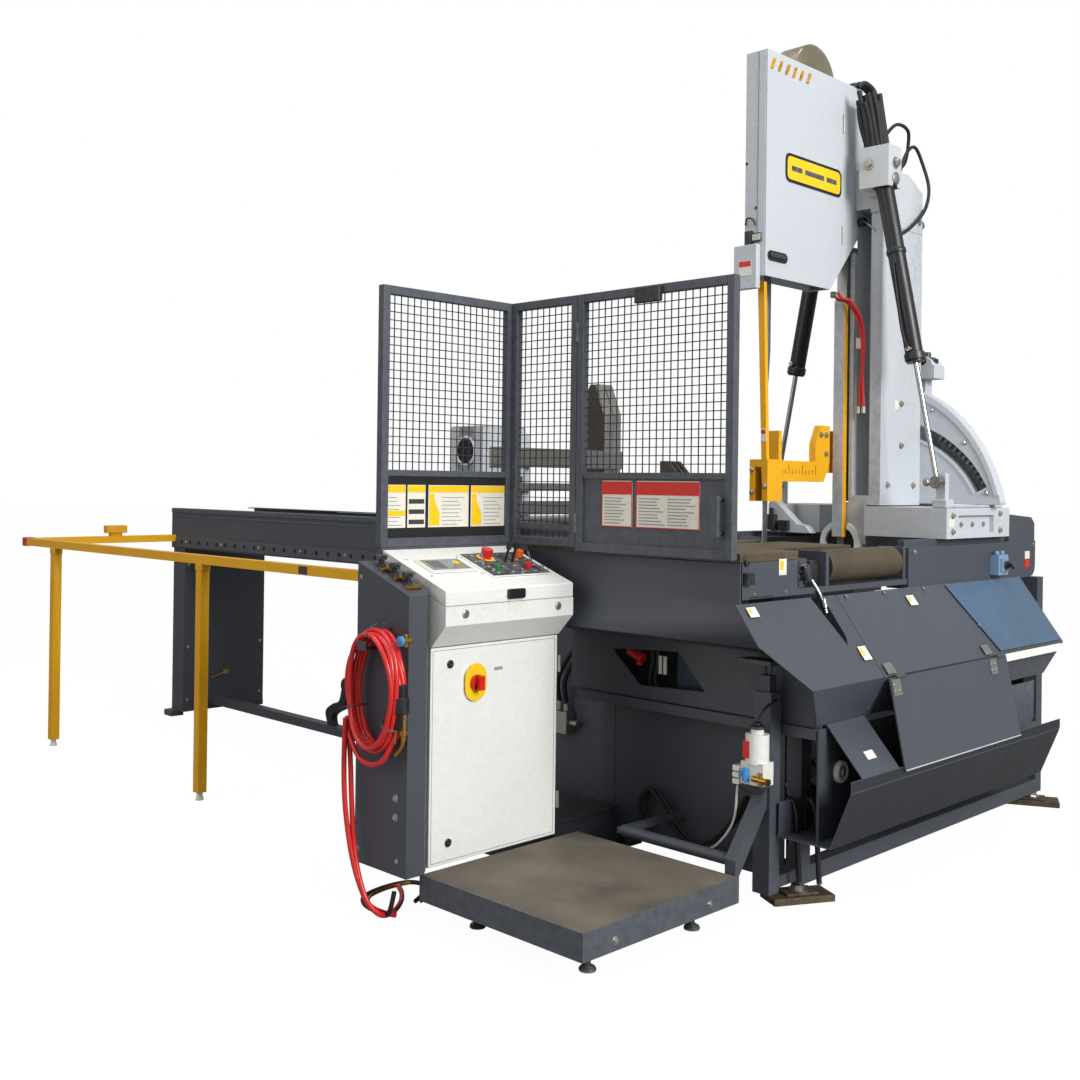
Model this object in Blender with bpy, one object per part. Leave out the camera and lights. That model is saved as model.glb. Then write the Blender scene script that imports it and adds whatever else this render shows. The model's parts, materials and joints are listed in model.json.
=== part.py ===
"""Large vertical tilt-frame band saw with a travelling head, shuttle feed, infeed roller bed,
operator console, platform, mesh guard and guard rail.

Frame: metres, +Z up, floor at z = 0. X runs with the material (infeed at -X, outfeed at +X),
-Y is the operator's side. X = 0 is the blade plane and the tilt axis, Y = 0 the middle of the base.
"""
import math

import bmesh
import bpy
from mathutils import Matrix, Vector

# ---------------------------------------------------------------- driving dimensions
GAP = 0.0003                 # running or seating gap between neighbouring pieces
SHEET = 0.005                # thickness of the folded sheet metal
PIVOT_Z = 1.20               # height of the tilt axis, along Y at X = 0
TABLE_Z = 1.22               # top of the work table
SIDE_X = 0.48                # outfeed side of the machine base
BASE_Y = (-0.98, 1.00)       # front and rear of the base frame
FRONT_Y = -1.38              # front apron of the table
TABLE_REAR_Y = -0.48
BLADE_SLOT = 0.035           # half width of the slot in the table

WHEEL_R = 0.28               # blade wheels
WHEEL_Y = -0.27
UPPER_Z = 2.80
LOWER_Z = 0.725
WHEEL_HALF = 0.018
BLADE_W = 0.034
BLADE_T = 0.0016

HOUSING_X = 0.05             # half thickness of the wheel housing
HOUSING_Y = (-0.64, 0.07)
HOUSING_Z = (2.26, 3.146)
DOOR_REAR_Y = -0.09          # the wheel door ends here, clear of the right tilt cylinder
HUB = (-0.12, 3.17, 0.15)    # round cover behind the housing (y, z, radius)
CHAMFER_Y = -0.174           # rear lower corner of the housing, cut off from here ...
CHAMFER_Z = 2.534            # ... up to here

COLUMN_X = (0.03, 0.18)
COLUMN_Y = (0.02, 0.36)
COLUMN_Z = (1.365, 2.79)

CASTING_Y = (-0.02, 0.55)
CASTING_Z = (1.237, 1.36)

CYL_R = 0.036                # tilt cylinders: barrel, rod
ROD_R = 0.011
RIGHT_TRUNNION = Vector((0.209, -0.03, 2.715))
RIGHT_EYE = Vector((0.462, -0.03, 1.464))
LEFT_TRUNNION = Vector((-0.2135, 0.20, 2.715))
LEFT_EYE = Vector((-0.450, 0.20, 1.464))
BARREL_UP = 0.37             # barrel above and below its trunnion
BARREL_DOWN = 0.78

RIDGE = (0.68, 0.79)         # outer edge of the chip hopper (x, z)
HOPPER_TOP = 1.065
BAND_Y = -1.405              # lower edge of the front band
BAND_Z = 0.925
FRONT_LOW = (-1.10, 0.64)    # foot of the front undercut (y, z)
SEAM_Y = -0.815
HOPPER_REAR_Y = 0.69

BED_Y = (-0.90, -0.32)       # infeed bed
BED_X = (-4.09, -0.52)
BED_Z = (1.02, 1.26)
BED_ROLLERS_X = (-3.20, -2.00)
SHUTTLE_X = -1.18

CONSOLE_Y = (-2.04, -1.442)
CONSOLE_BACK = -0.535
CONSOLE_FRONT = -0.199
LID_Z = (1.085, 1.205)       # front and back height of the console top
LID_T = 0.049
CABINET_X = (-0.58, -0.273)
CABINET_Z = (0.168, 0.897)
END_PANEL_Y = (-2.16, -2.05)

GUARD_Y = -1.44
GUARD_Z = (1.20, 1.48, 2.115)
GUARD_CORNER_X = -0.536
GUARD_DOOR_X = (-0.197, 0.489)
GUARD_LEFT_Y = -2.047
TUBE = 0.03                  # square tube of the guard frames

DECK_X = (-0.259, 0.459)
DECK_Y = (-2.082, -1.342)
DECK_Z = 0.168

BARRIER_Y = -1.795
BARRIER_Z = 1.098
BARRIER_X = (-4.07, -0.60)
BARRIER_POSTS_X = (-3.684, -2.155)
BARRIER_T = 0.04

# ---------------------------------------------------------------- materials
COLOURS = {
    "sheet_grey": ((0.075, 0.088, 0.112), 0.45, 0.0),
    "light_grey": ((0.52, 0.55, 0.58), 0.40, 0.0),
    "cream": ((0.70, 0.72, 0.70), 0.38, 0.0),
    "safety_yellow": ((0.72, 0.40, 0.015), 0.40, 0.0),
    "steel": ((0.42, 0.42, 0.43), 0.32, 1.0),
    "brown_steel": ((0.16, 0.135, 0.10), 0.45, 0.8),
    "chrome": ((0.80, 0.80, 0.82), 0.12, 1.0),
    "black": ((0.018, 0.019, 0.022), 0.50, 0.0),
    "hose_red": ((0.75, 0.035, 0.02), 0.45, 0.0),
    "red": ((0.70, 0.02, 0.02), 0.35, 0.0),
    "green": ((0.03, 0.35, 0.08), 0.35, 0.0),
    "orange": ((0.80, 0.25, 0.02), 0.40, 0.0),
    "white": ((0.80, 0.80, 0.78), 0.45, 0.0),
    "screen": ((0.25, 0.29, 0.30), 0.15, 0.0),
    "deck": ((0.14, 0.12, 0.095), 0.85, 0.0),
}

FRAMES = {}                  # joint empties: name -> (empty, world position)


def clear_scene():
    for obj in list(bpy.data.objects):
        bpy.data.objects.remove(obj, do_unlink=True)


def material(slot):
    mat = bpy.data.materials.get(slot)
    if mat is None:
        colour, roughness, metallic = COLOURS[slot]
        mat = bpy.data.materials.new(slot)
        mat.use_nodes = True
        shader = mat.node_tree.nodes["Principled BSDF"]
        shader.inputs["Base Color"].default_value = (*colour, 1.0)
        shader.inputs["Roughness"].default_value = roughness
        shader.inputs["Metallic"].default_value = metallic
    return mat


# ---------------------------------------------------------------- shapes
def prism(outline, axis, start, end):
    """Extrude a closed outline along an axis: (y, z), (x, z) or (x, y) points for X, Y or Z."""
    bm = bmesh.new()

    def at(point, depth):
        a, b = point
        return {"X": (depth, a, b), "Y": (a, depth, b), "Z": (a, b, depth)}[axis]

    near = [bm.verts.new(at(p, start)) for p in outline]
    far = [bm.verts.new(at(p, end)) for p in outline]
    bm.faces.new(near)
    bm.faces.new(far)
    count = len(outline)
    for i in range(count):
        j = (i + 1) % count
        bm.faces.new((near[i], near[j], far[j], far[i]))
    bmesh.ops.recalc_face_normals(bm, faces=bm.faces)
    return bm


def box(x, y, z):
    return prism([(x[0], y[0]), (x[1], y[0]), (x[1], y[1]), (x[0], y[1])], "Z", z[0], z[1])


def rod(start, end, radius, segments=16, end_radius=None):
    """Cylinder, or cone frustum, between two points."""
    start = Vector(start)
    end = Vector(end)
    bm = bmesh.new()
    bmesh.ops.create_cone(bm, cap_ends=True, segments=segments, radius1=radius,
                          radius2=radius if end_radius is None else end_radius,
                          depth=(end - start).length)
    turn = Vector((0, 0, 1)).rotation_difference(end - start).to_matrix().to_4x4()
    bmesh.ops.transform(bm, matrix=Matrix.Translation((start + end) / 2) @ turn, verts=bm.verts)
    return bm


def lathe_x(profile, centre, segments=32):
    """Ring turned about an X axis through centre: closed profile of (x, radius) points."""
    bm = bmesh.new()
    cx, cy, cz = centre
    rings = []
    for i in range(segments):
        angle = 2 * math.pi * i / segments
        rings.append([bm.verts.new((cx + x, cy + r * math.cos(angle), cz + r * math.sin(angle)))
                      for x, r in profile])
    count = len(profile)
    for i in range(segments):
        a = rings[i]
        b = rings[(i + 1) % segments]
        for k in range(count):
            m = (k + 1) % count
            bm.faces.new((a[k], a[m], b[m], b[k]))
    bmesh.ops.recalc_face_normals(bm, faces=bm.faces)
    return bm


def strip(path, thickness):
    """Outline of a folded sheet: the open path, thickened to its left-hand side."""
    points = [Vector(p) for p in path]
    other = []
    for i, point in enumerate(points):
        normals = []
        if i > 0:
            d = (point - points[i - 1]).normalized()
            normals.append(Vector((-d.y, d.x)))
        if i < len(points) - 1:
            d = (points[i + 1] - point).normalized()
            normals.append(Vector((-d.y, d.x)))
        mean = sum(normals, Vector((0, 0))).normalized()
        other.append(point + mean * (thickness / mean.dot(normals[0])))
    return [tuple(p) for p in points] + [tuple(p) for p in reversed(other)]


def lattice(width, height, columns, rows, bar, depth):
    """Flat mesh of flat bars in the local X-Z plane, from the origin, extruded along +Y."""
    def lines(length, count):
        pitch = (length - bar) / count
        return [v for i in range(count + 1) for v in (i * pitch, i * pitch + bar)]

    xs = lines(width, columns)
    zs = lines(height, rows)
    bm = bmesh.new()
    grid = {}

    def vert(i, j, back):
        key = (i, j, back)
        if key not in grid:
            grid[key] = bm.verts.new((xs[i], depth if back else 0.0, zs[j]))
        return grid[key]

    def solid(i, j):
        inside = 0 <= i < len(xs) - 1 and 0 <= j < len(zs) - 1
        return inside and (i % 2 == 0 or j % 2 == 0)

    for i in range(len(xs) - 1):
        for j in range(len(zs) - 1):
            if not solid(i, j):
                continue
            for back in (False, True):
                bm.faces.new([vert(a, b, back) for a, b in
                              ((i, j), (i + 1, j), (i + 1, j + 1), (i, j + 1))])
            for neighbour, a, b in (((i - 1, j), (i, j), (i, j + 1)),
                                    ((i + 1, j), (i + 1, j), (i + 1, j + 1)),
                                    ((i, j - 1), (i, j), (i + 1, j)),
                                    ((i, j + 1), (i, j + 1), (i + 1, j + 1))):
                if not solid(*neighbour):
                    bm.faces.new((vert(*a, False), vert(*b, False), vert(*b, True), vert(*a, True)))
    bmesh.ops.recalc_face_normals(bm, faces=bm.faces)
    return bm


def loop_tube(points, radius, segments=8):
    """Round tube along a closed loop of points."""
    bm = bmesh.new()
    count = len(points)
    rings = []
    for i, point in enumerate(points):
        tangent = (points[(i + 1) % count] - points[i - 1]).normalized()
        side = tangent.cross(Vector((0, 1, 0))).normalized()
        up = Vector((0, 1, 0))
        rings.append([bm.verts.new(point + radius * (math.cos(a) * side + math.sin(a) * up))
                      for a in (2 * math.pi * k / segments for k in range(segments))])
    for i in range(count):
        a = rings[i]
        b = rings[(i + 1) % count]
        for k in range(segments):
            m = (k + 1) % segments
            bm.faces.new((a[k], a[m], b[m], b[k]))
    bmesh.ops.recalc_face_normals(bm, faces=bm.faces)
    return bm


# ---------------------------------------------------------------- objects
def temporary(bm):
    mesh = bpy.data.meshes.new("work")
    bm.to_mesh(mesh)
    bm.free()
    obj = bpy.data.objects.new("work", mesh)
    bpy.context.scene.collection.objects.link(obj)
    return obj


def combine(solids, cuts=()):
    """One closed mesh: the union of the solids, less the cuts."""
    base = temporary(solids[0])
    others = [(temporary(bm), "UNION") for bm in solids[1:]]
    others += [(temporary(bm), "DIFFERENCE") for bm in cuts]
    for obj, operation in others:
        modifier = base.modifiers.new("boolean", "BOOLEAN")
        modifier.operation = operation
        modifier.solver = "EXACT"
        modifier.object = obj
    graph = bpy.context.evaluated_depsgraph_get()
    mesh = bpy.data.meshes.new_from_object(base.evaluated_get(graph))
    for obj in [base] + [other for other, _ in others]:
        bpy.data.objects.remove(obj, do_unlink=True)
    return mesh


def frame(name, position, parent=None):
    """Empty on a joint's axis, which carries the pieces of one moving body."""
    position = Vector(position)
    empty = bpy.data.objects.new("joint_" + name, None)
    bpy.context.scene.collection.objects.link(empty)
    origin = Vector((0, 0, 0))
    if parent:
        empty.parent = FRAMES[parent][0]
        origin = FRAMES[parent][1]
    empty.location = position - origin
    FRAMES[name] = (empty, position)


def combine_bm(solids, cuts=()):
    """The same union, handed back as a solid for a later piece."""
    mesh = combine(solids, cuts)
    bm = bmesh.new()
    bm.from_mesh(mesh)
    bpy.data.meshes.remove(mesh)
    return bm


def piece(name, slot, solids, cuts=(), body=None, smooth=False):
    """Named sub-part in world coordinates, with its origin on its body's joint frame."""
    mesh = combine(solids, cuts)
    mesh.name = name
    mesh.materials.clear()
    mesh.materials.append(material(slot))
    obj = bpy.data.objects.new(name, mesh)
    bpy.context.scene.collection.objects.link(obj)
    if body:
        empty, position = FRAMES[body]
        mesh.transform(Matrix.Translation(-position))
        obj.parent = empty
    if smooth:
        mesh.shade_smooth()
        mesh.set_sharp_from_angle(angle=math.radians(35))
    return obj


# ---------------------------------------------------------------- base and hopper
def levelling_foot(x, y, turn):
    pad = box((-0.055, 0.055), (-0.115, 0.115), (0.0, 0.022))
    bmesh.ops.rotate(pad, cent=(0, 0, 0), matrix=Matrix.Rotation(turn, 3, "Z"), verts=pad.verts)
    bmesh.ops.translate(pad, vec=(x, y, 0), verts=pad.verts)
    return [pad, rod((x, y, 0.01), (x, y, 0.08), 0.018, 12)]


def front_stand():
    """Post with a support plate under the table, its strut down to the platform and the toe tube."""
    x0, x1, y0, y1 = 0.390, 0.457, -1.165, -1.105
    strut = [(y0 + 0.01, 0.372), (y0 + 0.01, 0.440), (-1.338, 0.215), (-1.338, 0.160), (-1.318, 0.160)]
    return [box((x0, x1), (y0, y1), (0.065, 0.745)),
            box((x0 + 0.012, x1 - 0.012), (y0 + 0.01, y1 - 0.01), (0.74, 0.80)),
            rod((x0 + 0.022, y0 + 0.03, 0.79), (x0 + 0.022, y0 + 0.03, 0.84), 0.006, 8),
            rod((x1 - 0.022, y0 + 0.03, 0.79), (x1 - 0.022, y0 + 0.03, 0.84), 0.006, 8),
            box((0.325, x1), (y0 - 0.005, y1 + 0.005), (0.835, 0.850)),
            box((x0 + 0.01, x1 - 0.01), (y1 - 0.01, BASE_Y[0] + 0.01), (0.075, 0.115)),
            box((x0 + 0.02, x1 - 0.01), (y1 - 0.01, -1.065), (0.60, 0.63)),
            prism(strut, "X", x0 + 0.012, x1 - 0.012),
            rod((-0.07, -1.305, 0.205), (x1 - 0.03, -1.305, 0.205), 0.019, 14),
            box((-0.085, -0.050), (-1.32, -0.974), (0.195, 0.215))]


def base_frame():
    x0, x1 = -0.46, 0.46
    y0, y1 = BASE_Y
    t = 0.06
    solids = [box((x0, x1), (y0, y0 + t), (0.06, 0.12)), box((x0, x1), (y1 - t, y1), (0.06, 0.12)),
              box((x1 - t, x1), (y0, y1), (0.06, 0.12)), box((x0, x0 + t), (y0, y1), (0.06, 0.12)),
              box((x1 - t, x1), (y0, y1), (0.33, 0.385)), box((x0, x0 + t), (y0, y1), (0.33, 0.385)),
              box((x0, x1), (y1 - t, y1), (1.0, 1.04)),
              box((x0 + 0.01, x1 - t - 0.01), (y0 + 0.002, y0 + 0.008), (0.1, 0.585)),
              box((-0.50, 0.585), (-1.090, -1.060), (0.596, 0.632)),
              box((x0 + 0.01, x1 - 0.01), (-0.03, 0.03), (0.06, 0.12))]
    solids += front_stand()
    for x in (x0, x1 - t):
        solids.append(box((x, x + t), (y0, y0 + t), (0.12, 0.632)))
        solids.append(box((x + 0.01, x + t - 0.01), (-1.08, y0 + 0.02), (0.60, 0.63)))
        solids.append(box((x, x + t), (y1 - t, y1), (0.12, 1.04)))
    for x, y, turn in ((0.43, y0 + 0.03, -0.5), (0.43, y1 - 0.03, -1.1), (-0.43, y0 + 0.03, 0.0),
                       (-0.43, y1 - 0.03, 0.0), (0.0, 0.0, 0.0)):
        solids += levelling_foot(x, y, turn)
    piece("base_frame", "sheet_grey", solids)


def hopper():
    top_x = SIDE_X + SHEET
    top_z = HOPPER_TOP - SHEET * (HOPPER_TOP - RIDGE[1]) / (RIDGE[0] - SIDE_X)
    side = strip([(top_x, top_z), RIDGE, (0.596, 0.645)], -SHEET)
    run = (FRONT_LOW[0] - BAND_Y) / (BAND_Z - FRONT_LOW[1])
    wall = -1.075
    below = [(FRONT_Y - 0.5, BAND_Z + 0.5 / run), (BAND_Y + 0.002, BAND_Z),
             (FRONT_LOW[0] + 0.002, FRONT_LOW[1]),
             (FRONT_LOW[0], 0.3), (FRONT_Y - 0.5, 0.3)]
    front = strip([(FRONT_Y, TABLE_Z - 0.032), (FRONT_Y, 1.012), (BAND_Y, BAND_Z), (wall, 0.862),
                   (wall, 0.634)], SHEET)
    beyond = [(SIDE_X, 1.3), (SIDE_X, HOPPER_TOP), RIDGE, (0.596, 0.645), (0.59, 0.5), (1.0, 0.5),
              (1.0, 1.3)]
    window = [(-0.336, 0.807), (-0.013, 0.826), (0.113, 0.695), (-0.193, 0.682)]
    apron = combine_bm([prism(front, "X", -0.55, RIDGE[0] + 0.01)],
                       [prism(beyond, "Y", -1.6, -1.0), prism(window, "Y", wall - 0.05, wall + 0.05)])
    near_side = combine_bm([prism(side, "Y", FRONT_Y - 0.03, SEAM_Y)],
                           [prism(below, "X", 0.3, 0.9),
                            prism([(0.46, -0.99), (0.60, -0.92), (0.58, -0.90), (0.46, -0.90)], "Z", 0.9,
                                  1.2)])
    piece("front_apron", "sheet_grey", [apron, near_side])
    piece("hopper_cover", "sheet_grey", [prism(side, "Y", SEAM_Y + 0.004, HOPPER_REAR_Y)])
    piece("chip_trough", "sheet_grey",
          [prism(strip([(-0.455, 1.00), (-0.455, 0.50), (-0.36, 0.392), (0.43, 0.392)]
                       + [(0.50 + 0.082 * math.cos(a), 0.474 + 0.082 * math.sin(a))
                          for a in (math.radians(d) for d in (230, 270, 310, 350))]
                       + [(0.582, 0.62)], -0.004), "Y", -0.915, 0.62)])


def chip_auger():
    """Screw conveyor: a long lens-shaped section, twisted along Y."""
    frame("auger", (0.50, 0.0, 0.478))
    turns = 4.5
    steps = 40
    y0, y1 = -0.90, 0.60
    section = [(0.062, 0.004), (0.020, 0.016), (-0.020, 0.016), (-0.062, 0.004),
               (-0.062, -0.004), (-0.020, -0.016), (0.020, -0.016), (0.062, -0.004)]
    bm = bmesh.new()
    rings = []
    for i in range(steps + 1):
        a = 2 * math.pi * turns * i / steps
        y = y0 + (y1 - y0) * i / steps
        rings.append([bm.verts.new((0.50 + u * math.cos(a) - v * math.sin(a), y,
                                    0.478 + u * math.sin(a) + v * math.cos(a))) for u, v in section])
    for a, b in zip(rings, rings[1:]):
        for k in range(len(section)):
            m = (k + 1) % len(section)
            bm.faces.new((a[k], a[m], b[m], b[k]))
    bm.faces.new(rings[0])
    bm.faces.new(rings[-1])
    bmesh.ops.recalc_face_normals(bm, faces=bm.faces)
    piece("chip_auger", "steel", [bm], body="auger")


def chip_door():
    x = RIDGE[0] + 0.012
    z = RIDGE[1] - 0.004
    frame("chip_door", (x, -0.35, z))
    door = strip([(x, z), (0.757, 0.478)], -0.006)
    piece("chip_door", "sheet_grey",
          [prism(door, "Y", -0.80, 0.105), rod((x, -0.76, z), (x, -0.70, z), 0.0075, 10),
           rod((x, 0.02, z), (x, 0.08, z), 0.0075, 10)], body="chip_door")


def side_trough():
    tray = strip([(0.472, 0.375), (0.472, 0.262), (0.665, 0.262), (0.742, 0.455), (0.742, 0.492)], -0.004)
    lip = strip([(0.597, 0.645), (0.742, 0.478)], 0.005)
    piece("coolant_tray", "sheet_grey",
          [prism(tray, "Y", -1.13, 0.50), box((0.589, 0.599), (-1.09, -0.82), (0.26, 0.632)),
           prism(lip, "Y", -1.05, -0.81)])
    piece("hydraulic_unit", "sheet_grey",
          [box((-1.05, -0.50), (-0.89, -0.34), (0.13, 0.70)),
           box((-1.05, -0.74), (-0.87, -0.40), (0.69, 0.90)),
           rod((-0.61, -0.72, 0.69), (-0.61, -0.72, 0.93), 0.085, 24),
           rod((-0.61, -0.72, 0.92), (-0.61, -0.72, 0.95), 0.095, 24),
           box((-1.02, -0.96), (-0.87, -0.75), (0.0, 0.14)),
           box((-0.58, -0.53), (-0.87, -0.75), (0.0, 0.14)),
           box((-1.02, -0.96), (-0.45, -0.36), (0.0, 0.14)),
           box((-0.58, -0.53), (-0.45, -0.36), (0.0, 0.14))])


def table():
    y0, y1 = FRONT_Y, TABLE_REAR_Y
    t = TABLE_Z - 0.03
    top = [(-0.50, y0), (SIDE_X, y0), (SIDE_X, -1.045), (0.345, -1.045), (0.345, y1), (BLADE_SLOT, y1),
           (BLADE_SLOT, -0.88), (-BLADE_SLOT, -0.88), (-BLADE_SLOT, y1), (-0.50, y1)]
    piece("work_table", "brown_steel", [prism(top, "Z", t, TABLE_Z)])
    bearings = rod((0.42, -0.90, 1.155), (0.42, -0.25, 1.155), 0.0153, 16)
    piece("roller_frame", "sheet_grey",
          [box((SIDE_X - 0.006, SIDE_X), (y0 + 0.012, -1.05), (1.07, t - GAP)),
           box((0.36, SIDE_X), (y0 + 0.012, -0.295), (1.07, 1.09)),
           box((0.36, 0.472), (-0.315, -0.295), (1.08, 1.212)),
           box((0.36, 0.472), (-0.859, -0.839), (1.08, 1.212)),
           box((0.36, 0.44), (-1.03, -0.93), (1.08, 1.188)),
           rod((0.43, -0.965, 1.155), (0.468, -0.965, 1.155), 0.009, 14)],
          [bearings])
    frame("outfeed_roller", (0.42, -0.578, 1.155))
    piece("outfeed_roller", "brown_steel",
          [rod((0.42, -0.825, 1.155), (0.42, -0.33, 1.155), 0.06, 28),
           rod((0.42, -0.857, 1.155), (0.42, -0.297, 1.155), 0.015, 16)], body="outfeed_roller",
           smooth=True)


def stop_lever():
    """Link in the gap between the front side plate and the outfeed roller."""
    frame("stop_lever", (0.455, -0.965, 1.155))
    piece("stop_lever", "chrome",
          [rod((0.4405, -0.965, 1.155), (0.466, -0.965, 1.155), 0.018, 18),
           prism([(-0.975, 1.15), (-0.955, 1.15), (-0.933, 1.108), (-0.948, 1.100)], "X", 0.455, 0.466)],
          [rod((0.43, -0.965, 1.155), (0.48, -0.965, 1.155), 0.0093, 18)], body="stop_lever")


def side_beams():
    y0, y1 = -0.285, 0.865
    corner = 0.05
    outline = [(y0, 1.05), (y1 - corner, 1.05)]
    outline += [(y1 - corner + corner * math.sin(a), 1.05 + corner - corner * math.cos(a))
                for a in (math.radians(d) for d in (30, 60, 90))]
    outline += [(y1, 1.21), (y0, 1.21)]
    cover = [(0.60, 1.20), (0.605, 1.330), (0.83, 1.315), (0.862, 1.29), (0.864, 1.20)]
    for side, name in ((1, "outfeed"), (-1, "infeed")):
        rail = side * 0.44
        solids = [prism(outline, "X", *sorted((side * 0.385, side * SIDE_X))),
                  box((rail - 0.014, rail + 0.014), (y0 + 0.01, y1 - 0.02), (1.20, CASTING_Z[0] - 0.0004))]
        if side == 1:
            solids.append(prism(cover, "X", 0.395, SIDE_X - 0.004))
        piece("side_beam_" + name, "sheet_grey", solids)


# ---------------------------------------------------------------- carriage
def carriage():
    frame("carriage", (0.0, 0.0, PIVOT_Z))
    y0, y1 = CASTING_Y
    z0, z1 = CASTING_Z
    piece("carriage_casting", "light_grey",
          [box((0.13, 0.50), (y0, y1), (z0, z1)), box((-0.50, -0.17), (y0, y1), (z0, z1)),
           box((-0.50, 0.50), (0.45, y1), (z0, z1)), rod((0, 0.45, PIVOT_Z), (0, y1, PIVOT_Z), 0.13, 28),
           box((0.442, 0.482), (0.0, 0.03), (z1 - 0.02, 1.50)),
           box((-0.470, -0.430), (0.225, 0.255), (z1 - 0.02, 1.50)),
           prism([(-0.345, 1.379), (-0.318, 1.379), (-0.20, 1.275), (-0.157, 1.268), (-0.13, z0),
                  (-0.345, z0)],
                 "Y", y0, y0 + 0.05),
           box((-0.36, -0.32), (0.465, 0.505), (1.08, z0 + 0.02)),
           rod((-0.34, -0.34, 1.11), (-0.34, 0.48, 1.11), 0.016, 14)],
          [rod((0, 0.40, PIVOT_Z), (0, 0.60, PIVOT_Z), 0.0555, 28),
           box((0.48, 0.52), (0.08, 0.40), (z0 + 0.02, z1 - 0.03)),
           box((-0.285, -0.12), (y0 + 0.05, 0.115), (1.2, 1.4)),
           box((-0.6, -0.345), (y0 - 0.1, 0.20), (1.2, 1.4)),
           prism([(-0.318, 1.379), (-0.20, 1.275), (-0.157, 1.268), (-0.10, 1.268), (-0.10, 1.45),
                  (-0.318, 1.45)], "Y", -0.1, y0 + 0.051)],
          body="carriage")
    piece("tilt_clamp", "light_grey",
          [box((0.03, 0.20), (0.4605, 0.52), (z1 + GAP, 1.80)),
           box((0.06, 0.15), (0.4605, 0.52), (1.79, 1.98)),
           box((0.09, 0.21), (0.425, 0.52), (1.925, 1.985)),
           rod((0.155, 0.425, 1.98), (0.155, 0.52, 1.98), 0.045, 20)],
          body="carriage")
    piece("feed_cylinder", "black", [rod((-0.34, -0.75, 1.11), (-0.34, 0.0, 1.11), 0.035, 20)],
          [rod((-0.34, -0.72, 1.11), (-0.34, 0.02, 1.11), 0.0165, 14)])


# ---------------------------------------------------------------- head
def head_structure():
    frame("head", (0.0, 0.02, PIVOT_Z), "carriage")
    x0, x1 = COLUMN_X
    y0, y1 = COLUMN_Y
    z0, z1 = COLUMN_Z
    top = [(y0, z0), (y1, z0), (y1, z1 - 0.06), (y1 - 0.12, z1), (y0, z1)]
    swing = (RIGHT_EYE - RIGHT_TRUNNION).normalized() * 0.3
    right_hole = rod(RIGHT_TRUNNION - swing, RIGHT_TRUNNION + swing, CYL_R + 0.014, 20)
    piece("head_column", "light_grey",
          [prism(top, "X", x0, x1), box((0.0, 0.115), (y0, y1), (PIVOT_Z, z0 + 0.01)),
           rod((0, y0, PIVOT_Z), (0, 0.43, PIVOT_Z), 0.10, 28),
           rod((0, 0.42, PIVOT_Z), (0, 0.56, PIVOT_Z), 0.055, 28),
           box((-0.16, 0.09), (0.072, 0.14), (2.665, 2.77)),
           box((-0.16, -0.0655), (-0.36, 0.14), (2.64, 2.92)),
           box((-0.15, -0.0655), (-0.36, 0.36), (0.62, 1.09)),
           box((-0.08, 0.0), (0.10, 0.36), (0.98, 1.15)),
           box((0.128, 0.262), (-0.085, 0.0199), (2.68, 2.85)),
           box((0.128, 0.17), (-0.02, 0.04), (2.66, 2.72)),
           box((0.128, 0.17), (0.01, 0.04), (2.60, 2.75)),
           box((-0.29, -0.145), (0.145, 0.26), (2.63, 2.79)),
           box((-0.16, x0 + 0.02), (0.15, 0.22), (2.56, 2.665)),
           rod((-0.19, HUB[0], HUB[1]), (-0.075, HUB[0], HUB[1]), HUB[2], 40),
           rod((-0.215, HUB[0], HUB[1]), (-0.185, HUB[0], HUB[1]), 0.105, 32),
           box((-0.15, -0.085), (HUB[0] - 0.06, HUB[0] + 0.06), (2.90, HUB[1]))],
          [box((0.048, 0.128), (y0 - 0.01, y0 + 0.13), (z0 + 0.04, 2.62)), right_hole,
           box((-0.35, -0.16), (0.158, 0.242), (2.60, 2.82)),
           box((0.02, 0.052), (0.0, 0.0715), (2.44, 2.8)),
           box((-0.3, -0.06), (WHEEL_Y - 0.0405, WHEEL_Y + 0.0405), (UPPER_Z - 0.09, UPPER_Z + 0.06)),
           rod((-0.3, WHEEL_Y, LOWER_Z), (0.0, WHEEL_Y, LOWER_Z), 0.045, 20)], body="head")
    rim = [(0.568 * math.cos(a), PIVOT_Z + 0.70 * math.sin(a))
           for a in (math.radians(15 + 75 * i / 14) for i in range(15))]
    plate = [(0.02, 1.372), (0.545, 1.372)] + rim + [(0.0, 1.90), (0.0, 1.40)]
    slot = [(r * math.cos(a), PIVOT_Z + r * math.sin(a))
            for r, angles in ((0.545, range(27, 88, 6)), (0.485, range(87, 26, -6)))
            for a in (math.radians(d) for d in angles)]
    piece("tilt_quadrant", "light_grey", [prism(plate, "Y", 0.3605, 0.4105)], [prism(slot, "Y", 0.3, 0.5)],
          body="head")
    piece("guide_way", "steel", [box((-0.045, x0 - GAP), (0.035, 0.085), (1.38, 2.47))], body="head")
    piece("rear_blade_guard", "safety_yellow",
          [prism([(-0.0245, -0.016), (0.0245, -0.016), (0.0245, 0.012), (0.022, 0.012), (0.022, -0.013),
                  (-0.022, -0.013), (-0.022, 0.012), (-0.0245, 0.012)], "Z", 1.226, 2.24)], body="head")


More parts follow.
